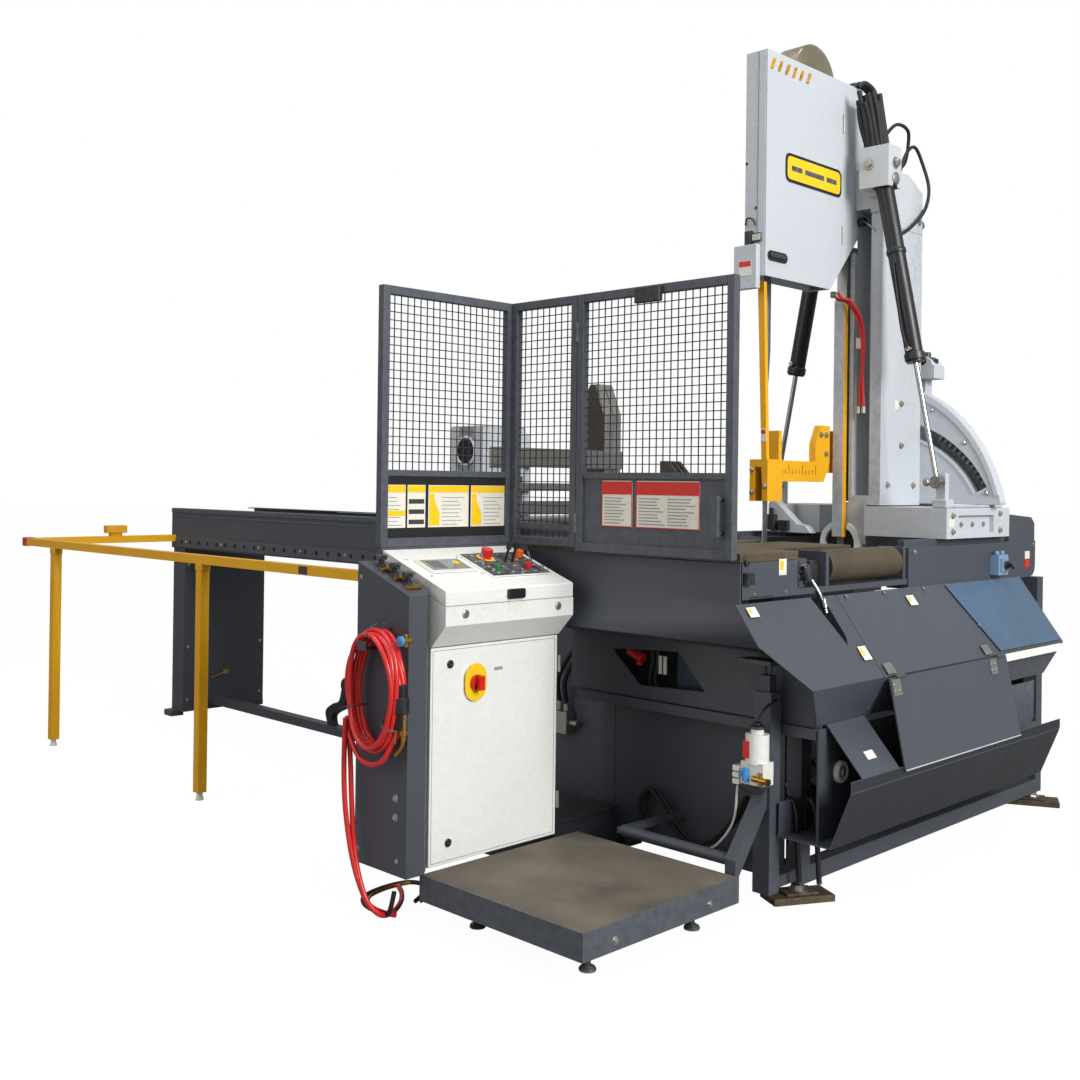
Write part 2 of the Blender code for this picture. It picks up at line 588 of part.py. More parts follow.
def wheel_housing():
    y0, y1 = HOUSING_Y
    z0, z1 = HOUSING_Z
    outline = [(y0, z0), (CHAMFER_Y, z0), (y1, CHAMFER_Z), (y1, z1), (y0, z1)]
    t = 0.004
    inner = [(y0 + t, z0 - 0.1), (CHAMFER_Y - 0.01, z0 - 0.1), (CHAMFER_Y - 0.01, z0 + t),
             (y1 - t, CHAMFER_Z + 0.002), (y1 - t, z1 - t), (y0 + t, z1 - t)]
    strand = box((-0.03, 0.03), (-0.03, 0.03), (z0, CHAMFER_Z + 0.06))
    ahead = [(y0 - 0.1, z0 - 0.1), (DOOR_REAR_Y + GAP, z0 - 0.1), (DOOR_REAR_Y + GAP, z1 + 0.1),
             (y0 - 0.1, z1 + 0.1)]
    behind = [(-y - 2 * abs(DOOR_REAR_Y), z) for y, z in ahead]
    edge = HOUSING_X - 0.0055
    rise = (CHAMFER_Z - z0) / (y1 - CHAMFER_Y)
    lip = DOOR_REAR_Y - 0.006
    opening = inner[:3] + [(lip, z0 + t + rise * (lip - CHAMFER_Y)), (lip, z1 - t), inner[5]]
    piece("upper_housing", "light_grey",
          [prism(outline, "X", -HOUSING_X, HOUSING_X),
           rod((HOUSING_X - 0.002, y1 - 0.02, 2.575), (HOUSING_X + 0.028, y1 - 0.02, 2.575), 0.014, 14)],
          [prism(inner, "X", -HOUSING_X + t, HOUSING_X - 0.005),
           prism(ahead, "X", edge - GAP, HOUSING_X + 0.1),
           prism(opening, "X", 0.0, 0.1), strand,
           box((-0.1, 0.0), (WHEEL_Y - 0.035, WHEEL_Y + 0.035), (UPPER_Z - 0.06, UPPER_Z + 0.05))],
           body="head")
    frame("upper_door", (HOUSING_X, DOOR_REAR_Y, z0), "head")
    piece("upper_door", "light_grey", [prism(outline, "X", edge, HOUSING_X)],
          [prism(behind, "X", 0.0, 0.1)],
          body="upper_door")
    lz1 = 1.035
    ly0, ly1 = WHEEL_Y - 0.315, WHEEL_Y + 0.315
    drum = [(WHEEL_Y + 0.315 * math.cos(a), LOWER_Z + 0.315 * math.sin(a))
            for a in (math.radians(180 + 15 * i) for i in range(13))]
    lower = drum + [(ly1, lz1), (ly0, lz1)]
    inside = [(WHEEL_Y + 0.311 * math.cos(a), LOWER_Z + 0.311 * math.sin(a))
              for a in (math.radians(180 + 15 * i) for i in range(13))]
    inside += [(ly1 - 0.004, lz1 + 0.1), (ly0 + 0.004, lz1 + 0.1)]
    piece("lower_housing", "sheet_grey", [prism(lower, "X", -HOUSING_X, HOUSING_X)],
          [prism(inside, "X", -HOUSING_X + t, HOUSING_X - t),
           rod((-0.1, WHEEL_Y, LOWER_Z), (0.0, WHEEL_Y, LOWER_Z), 0.05, 20)], body="head")


def wheel_profile(bore):
    r = WHEEL_R
    h = WHEEL_HALF
    return [(-h - 0.008, bore), (-h - 0.008, 0.055), (-0.005, 0.060), (-0.005, r - 0.030), (-h, r - 0.022),
            (-h, r),
            (h, r), (h, r - 0.022), (0.005, r - 0.030), (0.005, 0.060), (h + 0.004, 0.055),
            (h + 0.004, bore)]


def wheels_and_blade():
    frame("tension", (0.0, WHEEL_Y, UPPER_Z), "head")
    piece("tension_block", "steel",
          [box((-0.15, -0.0505), (WHEEL_Y - 0.03, WHEEL_Y + 0.03), (UPPER_Z - 0.04, UPPER_Z + 0.04)),
           rod((-0.06, WHEEL_Y, UPPER_Z), (0.024, WHEEL_Y, UPPER_Z), 0.020, 20)], body="tension")
    frame("upper_wheel", (0.0, WHEEL_Y, UPPER_Z), "tension")
    piece("upper_wheel", "steel", [lathe_x(wheel_profile(0.0203), (0.0, WHEEL_Y, UPPER_Z))],
          body="upper_wheel", smooth=True)
    frame("lower_wheel", (0.0, WHEEL_Y, LOWER_Z), "head")
    piece("lower_wheel", "steel", [lathe_x(wheel_profile(0.0303), (0.0, WHEEL_Y, LOWER_Z))],
          body="lower_wheel", smooth=True)
    piece("drive_motor", "black",
          [rod((-0.40, WHEEL_Y, LOWER_Z), (-0.1505, WHEEL_Y, LOWER_Z), 0.085, 24),
           rod((-0.16, WHEEL_Y, LOWER_Z), (-0.06, WHEEL_Y, LOWER_Z), 0.044, 20),
           rod((-0.08, WHEEL_Y, LOWER_Z), (0.026, WHEEL_Y, LOWER_Z), 0.030, 20)], body="head", smooth=True)
    piece("saw_blade", "steel", [blade_loop()], body="head")


def blade_twist(z):
    """Turn of the front strand: flat on the wheels, on edge between the guides."""
    if z >= 1.98 or z <= 1.0:
        return 0.0
    if z > 1.58:
        return (1.98 - z) / 0.40 * math.pi / 2
    if z >= 1.14:
        return math.pi / 2
    return (z - 1.0) / 0.14 * math.pi / 2


def blade_loop():
    step = 7.5
    r = (WHEEL_R + 0.0003) / math.cos(math.radians(step / 2)) + BLADE_T / 2
    stations = []
    arc = [math.radians(180 - step * i) for i in range(25)]
    stations += [(WHEEL_Y + r * math.cos(a), UPPER_Z + r * math.sin(a), a, 0.0) for a in arc]
    stations += [(WHEEL_Y + r * math.cos(-a), LOWER_Z + r * math.sin(-a), -a, 0.0) for a in reversed(arc)]
    heights = [1.0, 1.035, 1.07, 1.105, 1.14, 1.36, 1.58, 1.66, 1.74, 1.82, 1.90, 1.98]
    stations += [(WHEEL_Y - r, z, math.pi, blade_twist(z)) for z in heights]
    bm = bmesh.new()
    rings = []
    for y, z, angle, twist in stations:
        outward = Vector((0, math.cos(angle), math.sin(angle)))
        across = Vector((1, 0, 0))
        wide = across * math.cos(twist) + outward * math.sin(twist)
        thin = outward * math.cos(twist) - across * math.sin(twist)
        centre = Vector((0, y, z))
        rings.append([bm.verts.new(centre + wide * a * BLADE_W / 2 + thin * b * BLADE_T / 2)
                      for a, b in ((-1, -1), (1, -1), (1, 1), (-1, 1))])
    count = len(rings)
    for i in range(count):
        a = rings[i]
        b = rings[(i + 1) % count]
        for k in range(4):
            m = (k + 1) % 4
            bm.faces.new((a[k], a[m], b[m], b[k]))
    bmesh.ops.recalc_face_normals(bm, faces=bm.faces)
    return bm


def guide_arm():
    frame("guide_arm", (0.0, 0.06, 1.46), "head")
    arm = [(-0.51, 1.46), (-0.075, 1.46), (-0.03, 1.54), (-0.03, 1.70), (-0.10, 1.70), (-0.14, 1.62),
           (-0.14, 1.545),
           (-0.51, 1.545)]
    y0, y1 = -0.602, -0.50
    z0, z1 = 1.38, 1.545
    piece("guide_arm", "safety_yellow",
          [prism(arm, "X", -0.064, -0.032), box((-0.075, -0.0455), (-0.04, 0.10), (1.50, 1.68)),
           box((-0.040, -0.0185), (y0, y1), (z0, z1)), box((0.0185, 0.045), (y0, y1), (z0, z1)),
           box((-0.064, 0.045), (-0.526, y1), (z0, z1)),
           box((-0.008, 0.044), (-0.526, -0.505), (z1 - 0.01, 1.66)),
           box((-0.040, 0.044), (y0, -0.585), (z1 - 0.03, z1)),
           prism([(-0.012, 2.245), (0.018, 2.245), (0.044, z0 + 0.02), (0.020, z0 + 0.02)], "Y", y0,
                 -0.583)],
          body="guide_arm")


def tilt_cylinder(side, trunnion, eye):
    axis = (eye - trunnion).normalized()
    length = (eye - trunnion).length
    body = "cylinder_" + side
    frame(body, trunnion, "head")
    top = trunnion - axis * BARREL_UP
    bottom = trunnion + axis * BARREL_DOWN
    piece(body, "black", [rod(top, bottom, CYL_R, 20)],
          [rod(top + axis * 0.04, bottom + axis * 0.1, ROD_R + 0.0002, 14)], body=body, smooth=True)
    frame("rod_" + side, eye, body)
    pin = Vector((0, 0.02, 0))
    reach = length + 0.04 if side == "left" else length - 0.16
    piece("rod_" + side, "chrome",
          [rod(eye - axis * reach, eye, ROD_R, 14), rod(eye - pin, eye + pin, 0.026, 16)],
          body="rod_" + side, smooth=True)


def tilt_cylinders():
    tilt_cylinder("right", RIGHT_TRUNNION, RIGHT_EYE)
    tilt_cylinder("left", LEFT_TRUNNION, LEFT_EYE)


# ---------------------------------------------------------------- work holding
def main_vise():
    z = TABLE_Z + 0.0005
    face = [(-0.47, z), (-0.14, z), (-0.40, 1.48), (-0.47, 1.48)]
    gusset = [(-0.50, z), (-0.14, z), (-0.46, 1.54), (-0.50, 1.54)]
    grooves = [box((-0.47, 0.0), (y, y + 0.018), (z + 0.03, 1.6)) for y in (-0.582, -0.546)]
    piece("main_vise_fixed_jaw", "brown_steel", [prism(gusset, "Y", -0.60, -0.51)], grooves)
    frame("main_vise_jaw", (-0.3, -1.03, 1.25))
    piece("main_vise_jaw", "brown_steel",
          [prism(face, "Y", -1.05, -1.01), box((-0.46, -0.16), (-1.14, -1.04), (z, 1.26))],
          body="main_vise_jaw")


def shuttle():
    """Feed carriage on the infeed bed with its own vise."""
    frame("shuttle", (SHUTTLE_X, -0.62, 1.27))
    x = SHUTTLE_X
    z = BED_Z[1] + 0.0008
    top = z + 0.025
    tip = [(x - 0.09, top - 0.002), (x + 0.09, top - 0.002), (x + 0.09, 1.765), (x + 0.03, 1.915),
           (x, 1.915), (x - 0.09, 1.755)]
    solids = [box((x - 0.15, x + 0.19), (-1.13, -0.13), (z, top)), prism(tip, "Y", -0.30, -0.18),
              box((x - 0.10, x + 0.10), (-1.09, -0.83), (1.465, 1.68)),
              box((x - 0.07, x + 0.07), (-1.05, -0.87), (top - 0.002, 1.48))]
    for low, high in ((1.51, 1.595), (1.405, 1.44), (1.30, 1.36)):
        solids.append(box((x + 0.085, x + 0.125), (-1.05, -0.20), (low, high)))
    piece("shuttle_carriage", "steel", solids,
          [rod((x, -1.12, 1.575), (x, -0.90, 1.575), 0.045, 20),
           rod((x, -0.91, 1.575), (x, -0.80, 1.575), 0.0203, 16)],
          body="shuttle")
    frame("shuttle_jaw", (x, -0.80, 1.45), "shuttle")
    piece("shuttle_jaw", "light_grey",
          [box((x - 0.09, x + 0.08), (-0.825, -0.785), (top + 0.001, 1.66)),
           rod((x, -1.07, 1.575), (x, -0.80, 1.575), 0.02, 16)], body="shuttle_jaw")


def infeed_bed():
    x0, x1 = BED_X
    y0, y1 = BED_Y
    z0, z1 = BED_Z
    section = [(y0, z0), (y1, z0), (y1, z1), (y1 - 0.05, z1), (y1 - 0.05, z1 - 0.006),
               (y1 - 0.005, z1 - 0.006),
               (y1 - 0.005, 1.08), (y0 + 0.005, 1.08), (y0 + 0.005, z1 - 0.006), (y0 + 0.05, z1 - 0.006),
               (y0 + 0.05, z1),
               (y0, z1)]
    piece("infeed_bed", "sheet_grey", [prism(section, "X", x0, x1)])
    for i, x in enumerate(BED_ROLLERS_X, 1):
        name = "bed_roller_%d" % i
        frame(name, (x, (y0 + y1) / 2, 1.185))
        piece(name, "steel", [rod((x, y0 + 0.06, 1.185), (x, y1 - 0.06, 1.185), 0.045, 20),
                              rod((x, y0 + 0.0053, 1.185), (x, y1 - 0.0053, 1.185), 0.012, 10)], body=name,
                              smooth=True)
    end = (x0 + 0.01, x0 + 0.14)
    piece("bed_legs", "sheet_grey",
          [box(end, (y0 + 0.01, y1 - 0.01), (0.03, z0 - GAP)),
           box((x0 - 0.01, x0 + 0.08), (y0 - 0.03, y0 + 0.05), (0.0, 0.035)),
           box((x0 - 0.01, x0 + 0.08), (y1 - 0.05, y1 + 0.03), (0.0, 0.035)),
           box((end[1] - 0.01, -0.47), (-0.73, -0.67), (0.07, 0.118))],
          [box((x0 - 0.1, end[1] - 0.012), (y0 + 0.06, y1 - 0.06), (0.10, z0 - 0.08))])


# ---------------------------------------------------------------- console, platform, guards
def lid_point(along, y, height=0.0):
    """Point over the sloping console top: along runs from the back edge to the front edge."""
    back = Vector((CONSOLE_BACK, y, LID_Z[1]))
    front = Vector((CONSOLE_FRONT, y, LID_Z[0]))
    normal = Vector((LID_Z[1] - LID_Z[0], 0, CONSOLE_FRONT - CONSOLE_BACK)).normalized()
    return back.lerp(front, along) + normal * height


def lid_plate(along, y, thickness):
    points = [lid_point(along[0], 0, -0.002), lid_point(along[1], 0, -0.002),
              lid_point(along[1], 0, thickness), lid_point(along[0], 0, thickness)]
    return prism([(p.x, p.z) for p in points], "Y", y[0], y[1])


def console():
    y0, y1 = CONSOLE_Y
    x0, x1 = CABINET_X
    z0, z1 = CABINET_Z
    seam = LID_T
    low = [(CONSOLE_BACK, z1 - 0.01), (x1 - 0.023, z1 - 0.01), (x1 - 0.023, z1 + GAP),
           (x1 + 0.004, z1 + GAP),
           (CONSOLE_FRONT, 0.972), (CONSOLE_FRONT, LID_Z[0] - seam - 0.002),
           (CONSOLE_BACK, LID_Z[1] - seam - 0.002)]
    inner = [(CONSOLE_BACK + 0.01, z0 + 0.02), (x1 - 0.04, z0 + 0.02), (x1 - 0.04, z1 + 0.02),
             (x1 - 0.01, z1 + 0.02),
             (CONSOLE_FRONT - 0.01, 0.985), (CONSOLE_FRONT - 0.01, LID_Z[0]),
             (CONSOLE_BACK + 0.01, LID_Z[1])]
    piece("console_body", "cream",
          [box((x0, x1 - 0.022), (y0, y1), (z0 + 0.002, z1)), prism(low, "Y", y0, y1)],
          [prism(inner, "Y", y0 + 0.012, y1 - 0.012),
           box((x1 - 0.1, x1), (y0 + 0.03, y1 - 0.03), (z0 + 0.03, z1 - 0.03))])
    frame("cabinet_door", (x1, y1 - 0.002, 0.53))
    piece("cabinet_door", "cream",
          [box((x1 - 0.0215, x1), (y0 + 0.002, y1 - 0.002), (z0 + 0.006, z1 - 0.004)),
           box((x1 - 0.002, x1 + 0.008), (-1.883, -1.807), (0.715, 0.815))], body="cabinet_door")
    frame("disconnect_knob", (x1 + 0.0085, -1.845, 0.765), "cabinet_door")
    piece("disconnect_knob", "red",
          [rod((x1 + 0.0085, -1.845, 0.765), (x1 + 0.022, -1.845, 0.765), 0.027, 20),
           box((x1 + 0.021, x1 + 0.042), (-1.856, -1.834), (0.741, 0.789))], body="disconnect_knob")
    frame("console_lid", (CONSOLE_BACK, (y0 + y1) / 2, LID_Z[1]))
    lid = [(CONSOLE_BACK, LID_Z[1] - seam), (CONSOLE_FRONT, LID_Z[0] - seam), (CONSOLE_FRONT, LID_Z[0]),
           (CONSOLE_BACK, LID_Z[1])]
    piece("console_lid", "cream",
          [prism(lid, "Y", y0, y1), lid_plate((0.30, 0.62), (-1.99, -1.79), 0.006),
           lid_plate((0.20, 0.78), (-1.765, -1.47), 0.006)],
          body="console_lid")
    controls()
    xa, xb = -0.510, -0.238
    hook_y = END_PANEL_Y[0]
    piece("end_panel", "sheet_grey",
          [prism([(xa, 0.172), (xb, 0.172), (xb, 1.074), (xa, 1.172)], "Y", *END_PANEL_Y),
           box((-0.395, -0.355), (hook_y - 0.085, hook_y + 0.01), (0.895, 0.902)),
           box((-0.395, -0.355), (hook_y - 0.086, hook_y - 0.08), (0.895, 0.925))],
          [prism([(xb, hook_y + 0.075), (xb + 0.1, hook_y + 0.075), (xb + 0.1, hook_y + 0.16),
                  (xb - 0.035, hook_y + 0.111)], "Z", 0.0, 1.4)])


def controls():
    for name, slot, along, y, radius, height in (("emergency_stop", "red", 0.33, -1.665, 0.021, 0.034),
                                                 ("start_button", "green", 0.62, -1.70, 0.013, 0.018),
                                                 ("stop_button", "red", 0.62, -1.55, 0.013, 0.018),
                                                 ("speed_knob", "orange", 0.34, -1.51, 0.018, 0.026)):
        base = lid_point(along, y, 0.0068)
        frame(name, base, "console_lid")
        piece(name, slot, [rod(base, lid_point(along, y, 0.0068 + height), radius, 18)], body=name,
              smooth=True)
    for i, y in enumerate((-1.61, -1.575), 1):
        name = "valve_lever_%d" % i
        frame(name, lid_point(0.46, y, 0.012), "console_lid")
        piece(name, "black", [rod(lid_point(0.46, y, 0.0088), lid_point(0.46, y, 0.062), 0.005, 10),
                              rod(lid_point(0.46, y, 0.058), lid_point(0.46, y, 0.082), 0.010, 12)],
                              body=name)


def hose_coil():
    centre = Vector((-0.375, END_PANEL_Y[0] - 0.045, 0.7325))
    loop = [centre + Vector((0.135 * math.cos(a), 0, 0.20 * math.sin(a)))
            for a in (2 * math.pi * i / 28 for i in range(28))]
    piece("air_hose_coil", "hose_red", [loop_tube(loop, 0.026)], smooth=True)


def panel_solids(width, low, sheet_top, origin, turned=False):
    """Tube frame with a sheet below and a mesh above, built in the local X-Z plane and then turned."""
    top = GUARD_Z[2]
    t = TUBE
    mesh = lattice(width - 2 * t + 0.004, top - t - sheet_top + 0.004, max(2, round(width / 0.12)), 6,
                   0.006, 0.004)
    bmesh.ops.translate(mesh, vec=(t - 0.002, 0.013, sheet_top - 0.002), verts=mesh.verts)
    solids = [box((0, t), (0, t), (low, top)), box((width - t, width), (0, t), (low, top)),
              box((0, width), (0, t), (top - t, top)), box((0, width), (0, t), (low, low + t)),
              box((0, width), (0, t), (sheet_top - t, sheet_top)),
              box((t / 2, width - t / 2), (0.011, 0.015), (low + 0.01, sheet_top - 0.01)), mesh]
    for bm in solids:
        for vert in bm.verts:
            x, y, z = vert.co
            vert.co = Vector(origin) + (Vector((-y, x, z)) if turned else Vector((x, y, z)))
    return solids


def guards():
    z0, z1, _ = GUARD_Z
    y = GUARD_Y
    low = z0 + 0.012
    corner = GUARD_CORNER_X
    left = panel_solids(y + 0.01 - GUARD_LEFT_Y, low, z1, (corner, GUARD_LEFT_Y, 0), turned=True)
    middle = panel_solids(GUARD_DOOR_X[0] - 0.002 - corner + 0.001, low, low + 2 * TUBE,
                          (corner - 0.001, y, 0))
    feet = [box((corner - TUBE, corner), (GUARD_LEFT_Y + 0.005, y), (0.90, low + 0.01))]
    piece("guard_fixed", "sheet_grey", left + middle + feet)
    frame("guard_door", (GUARD_DOOR_X[0], y, z0))
    door = panel_solids(GUARD_DOOR_X[1] - GUARD_DOOR_X[0], z0, z1, (GUARD_DOOR_X[0], y, 0))
    handle = [box((0.425, 0.455), (y - 0.035, y - 0.02), (1.27, 1.41)),
              box((0.425, 0.455), (y - 0.022, y + 0.013), (1.275, 1.295)),
              box((0.425, 0.455), (y - 0.022, y + 0.013), (1.385, 1.405))]
    piece("guard_door", "sheet_grey", door + handle, body="guard_door")


def platform():
    x0, x1 = DECK_X
    y0, y1 = DECK_Y
    z = DECK_Z
    piece("platform_deck", "deck", [box((x0, x1), (y0, y1), (z - 0.012, z))])
    t = 0.05
    solids = [box((x0, x1), (y0, y0 + t), (z - 0.085, z - 0.0123)),
              box((x0, x1), (y1 - t, y1), (z - 0.085, z - 0.0123)),
              box((x0, x0 + t), (y0, y1), (z - 0.085, z - 0.0123)),
              box((x1 - t, x1), (y0, y1), (z - 0.085, z - 0.0123))]
    for fx, fy in ((-0.128, -1.948), (0.356, -1.948), (0.356, -1.45), (-0.128, -1.45)):
        solids.append(rod((fx, fy, 0.0), (fx, fy, 0.012), 0.024, 14))
        solids.append(rod((fx, fy, 0.01), (fx, fy, z - 0.03), 0.010, 10))
    solids += [box((x0 + 0.02, x1 - 0.02), (-1.975, -1.921), (z - 0.05, z - 0.0123)),
               box((x0 + 0.02, x1 - 0.02), (-1.477, -1.423), (z - 0.05, z - 0.0123))]
    piece("platform_frame", "sheet_grey", solids)


def barrier():
    x0, x1 = BARRIER_X
    t = BARRIER_T
    y = BARRIER_Y
    z = BARRIER_Z
    solids = [box((x0, x1), (y - t / 2, y + t / 2), (z - t, z)),
              box((x0, x0 + t), (y - t / 2, BED_Y[0] - 0.002), (z - t, z))]
    for x in BARRIER_POSTS_X:
        solids.append(box((x - 0.022, x + 0.022), (y - 0.022, y + 0.022), (0.035, z - t + 0.001)))
        solids.append(rod((x, y, 0.0), (x, y, 0.04), 0.012, 12))
    piece("barrier_rail", "safety_yellow", solids)


def lubricator():
    x, y = 0.437, -1.212
    piece("lubricator", "white",
          [rod((x, y, 0.515), (x, y, 0.613), 0.040, 20), rod((x, y, 0.605), (x, y, 0.629), 0.022, 16),
           box((x - 0.045, x + 0.045), (y - 0.03, y + 0.03), (0.446, 0.5215)),
           box((x - 0.02, x + 0.01), (y, -1.165 - GAP), (0.475, 0.505))])


def main():
    clear_scene()
    base_frame()
    hopper()
    chip_auger()
    chip_door()
    side_trough()
    table()
    stop_lever()
    side_beams()
    carriage()
    head_structure()
    wheel_housing()
    wheels_and_blade()
    guide_arm()
    tilt_cylinders()
    main_vise()
    shuttle()
    infeed_bed()
    console()
    hose_coil()
    guards()
    platform()
    barrier()
    lubricator()


main()
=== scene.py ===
"""Looks of a tilt-frame vertical band saw: finishes on the CAD nodes and detail pieces on its bodies."""

import json
import math
import random

import bmesh
import bpy
from mathutils import Matrix, Vector


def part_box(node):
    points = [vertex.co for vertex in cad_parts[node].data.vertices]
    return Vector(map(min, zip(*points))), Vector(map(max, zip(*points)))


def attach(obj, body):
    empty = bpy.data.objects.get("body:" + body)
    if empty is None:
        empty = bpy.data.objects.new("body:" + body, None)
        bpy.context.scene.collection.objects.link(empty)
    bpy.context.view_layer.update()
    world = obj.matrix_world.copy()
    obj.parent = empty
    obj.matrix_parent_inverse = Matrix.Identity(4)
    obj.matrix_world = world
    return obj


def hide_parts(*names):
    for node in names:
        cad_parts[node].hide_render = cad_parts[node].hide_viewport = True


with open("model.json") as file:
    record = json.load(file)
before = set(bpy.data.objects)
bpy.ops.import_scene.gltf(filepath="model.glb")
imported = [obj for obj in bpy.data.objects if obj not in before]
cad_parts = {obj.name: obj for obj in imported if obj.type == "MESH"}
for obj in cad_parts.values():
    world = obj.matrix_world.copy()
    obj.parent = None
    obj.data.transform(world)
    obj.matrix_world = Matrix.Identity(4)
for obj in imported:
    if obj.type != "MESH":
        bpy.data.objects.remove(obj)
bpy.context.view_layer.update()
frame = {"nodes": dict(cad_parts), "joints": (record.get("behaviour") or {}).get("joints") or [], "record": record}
NODES = frame["nodes"]
DICE = random.Random(7)


# ------------------------------------------------------------------ materials
def linear(rgb):
    """Scene colour from 8-bit display values."""
    return tuple((c / 255 / 12.92 if c <= 10 else ((c / 255 + 0.055) / 1.055) ** 2.4) for c in rgb) + (1.0,)


def finish_material(name, rgb, rough=0.45, metallic=0.0, blotch=0.10, grain=260.0, bump=0.12,
                    stretch=(1, 1, 1), wear=None, wear_at=0.56, coat=0.0, second=None, spots=60.0):
    """Painted, plastic or metal finish with slow colour drift, fine grain and worn edges."""
    m = bpy.data.materials.new(name)
    m.use_nodes = True
    tree = m.node_tree
    new, link = tree.nodes.new, tree.links.new
    shader = tree.nodes["Principled BSDF"]
    place = new("ShaderNodeTexCoord")
    scaled = new("ShaderNodeMapping")
    scaled.inputs["Scale"].default_value = stretch
    link(place.outputs["Object"], scaled.inputs["Vector"])

    def noise(scale, detail, source=scaled):
        n = new("ShaderNodeTexNoise")
        n.inputs["Scale"].default_value = scale
        n.inputs["Detail"].default_value = detail
        link(source.outputs[0 if source is scaled else "Object"], n.inputs["Vector"])
        return n.outputs["Fac"]

    def span(value, low, high):
        r = new("ShaderNodeMapRange")
        r.inputs["From Min"].default_value = 0.3
        r.inputs["From Max"].default_value = 0.7
        r.inputs["To Min"].default_value = low
        r.inputs["To Max"].default_value = high
        link(value, r.inputs["Value"])
        return r.outputs["Result"]

    def mix(factor, a, b, mode="MIX"):
        x = new("ShaderNodeMix")
        x.data_type = "RGBA"
        x.blend_type = mode
        for value, socket in ((factor, x.inputs[0]), (a, x.inputs[6]), (b, x.inputs[7])):
            if hasattr(value, "is_output"):
                link(value, socket)
            else:
                socket.default_value = value
        return x.outputs[2]

    base = linear(rgb)
    other = linear(second) if second else tuple(c * (1 - 2 * blotch) for c in base[:3]) + (1.0,)
    colour = mix(span(noise(3.2, 6.0, place), 0.0, 1.0), base, other)
    colour = mix(span(noise(spots, 4.0), 0.0, 0.35), colour,
                 tuple(min(1.0, c * 1.18) for c in base[:3]) + (1.0,))
    if wear:
        geometry = new("ShaderNodeNewGeometry")
        edge = new("ShaderNodeMapRange")
        edge.inputs["From Min"].default_value = wear_at
        edge.inputs["From Max"].default_value = wear_at + 0.06
        link(geometry.outputs["Pointiness"], edge.inputs["Value"])
        rub = new("ShaderNodeMath")
        rub.operation = "MULTIPLY"
        link(edge.outputs["Result"], rub.inputs[0])
        link(span(noise(38.0, 5.0, place), 0.0, 1.0), rub.inputs[1])
        colour = mix(rub.outputs[0], colour, linear(wear))
    link(colour, shader.inputs["Base Color"])
    link(span(noise(17.0, 6.0), max(0.03, rough - 0.04), min(1.0, rough + 0.06)),
         shader.inputs["Roughness"])
    shader.inputs["Metallic"].default_value = metallic
    shader.inputs["Coat Weight"].default_value = coat
    shader.inputs["Coat Roughness"].default_value = 0.15
    relief = new("ShaderNodeBump")
    relief.inputs["Strength"].default_value = bump
    relief.inputs["Distance"].default_value = 0.0012
    link(noise(grain, 3.0), relief.inputs["Height"])
    link(relief.outputs["Normal"], shader.inputs["Normal"])
    return m


def plastic(name, rgb, rough=0.32, blotch=0.06, coat=0.3):
    return finish_material(name, rgb, rough, blotch=blotch, grain=260.0, bump=0.05, coat=coat)


def label(name, rgb, rough=0.35, blotch=0.05):
    return finish_material(name, rgb, rough, blotch=blotch, grain=200.0, bump=0.03)


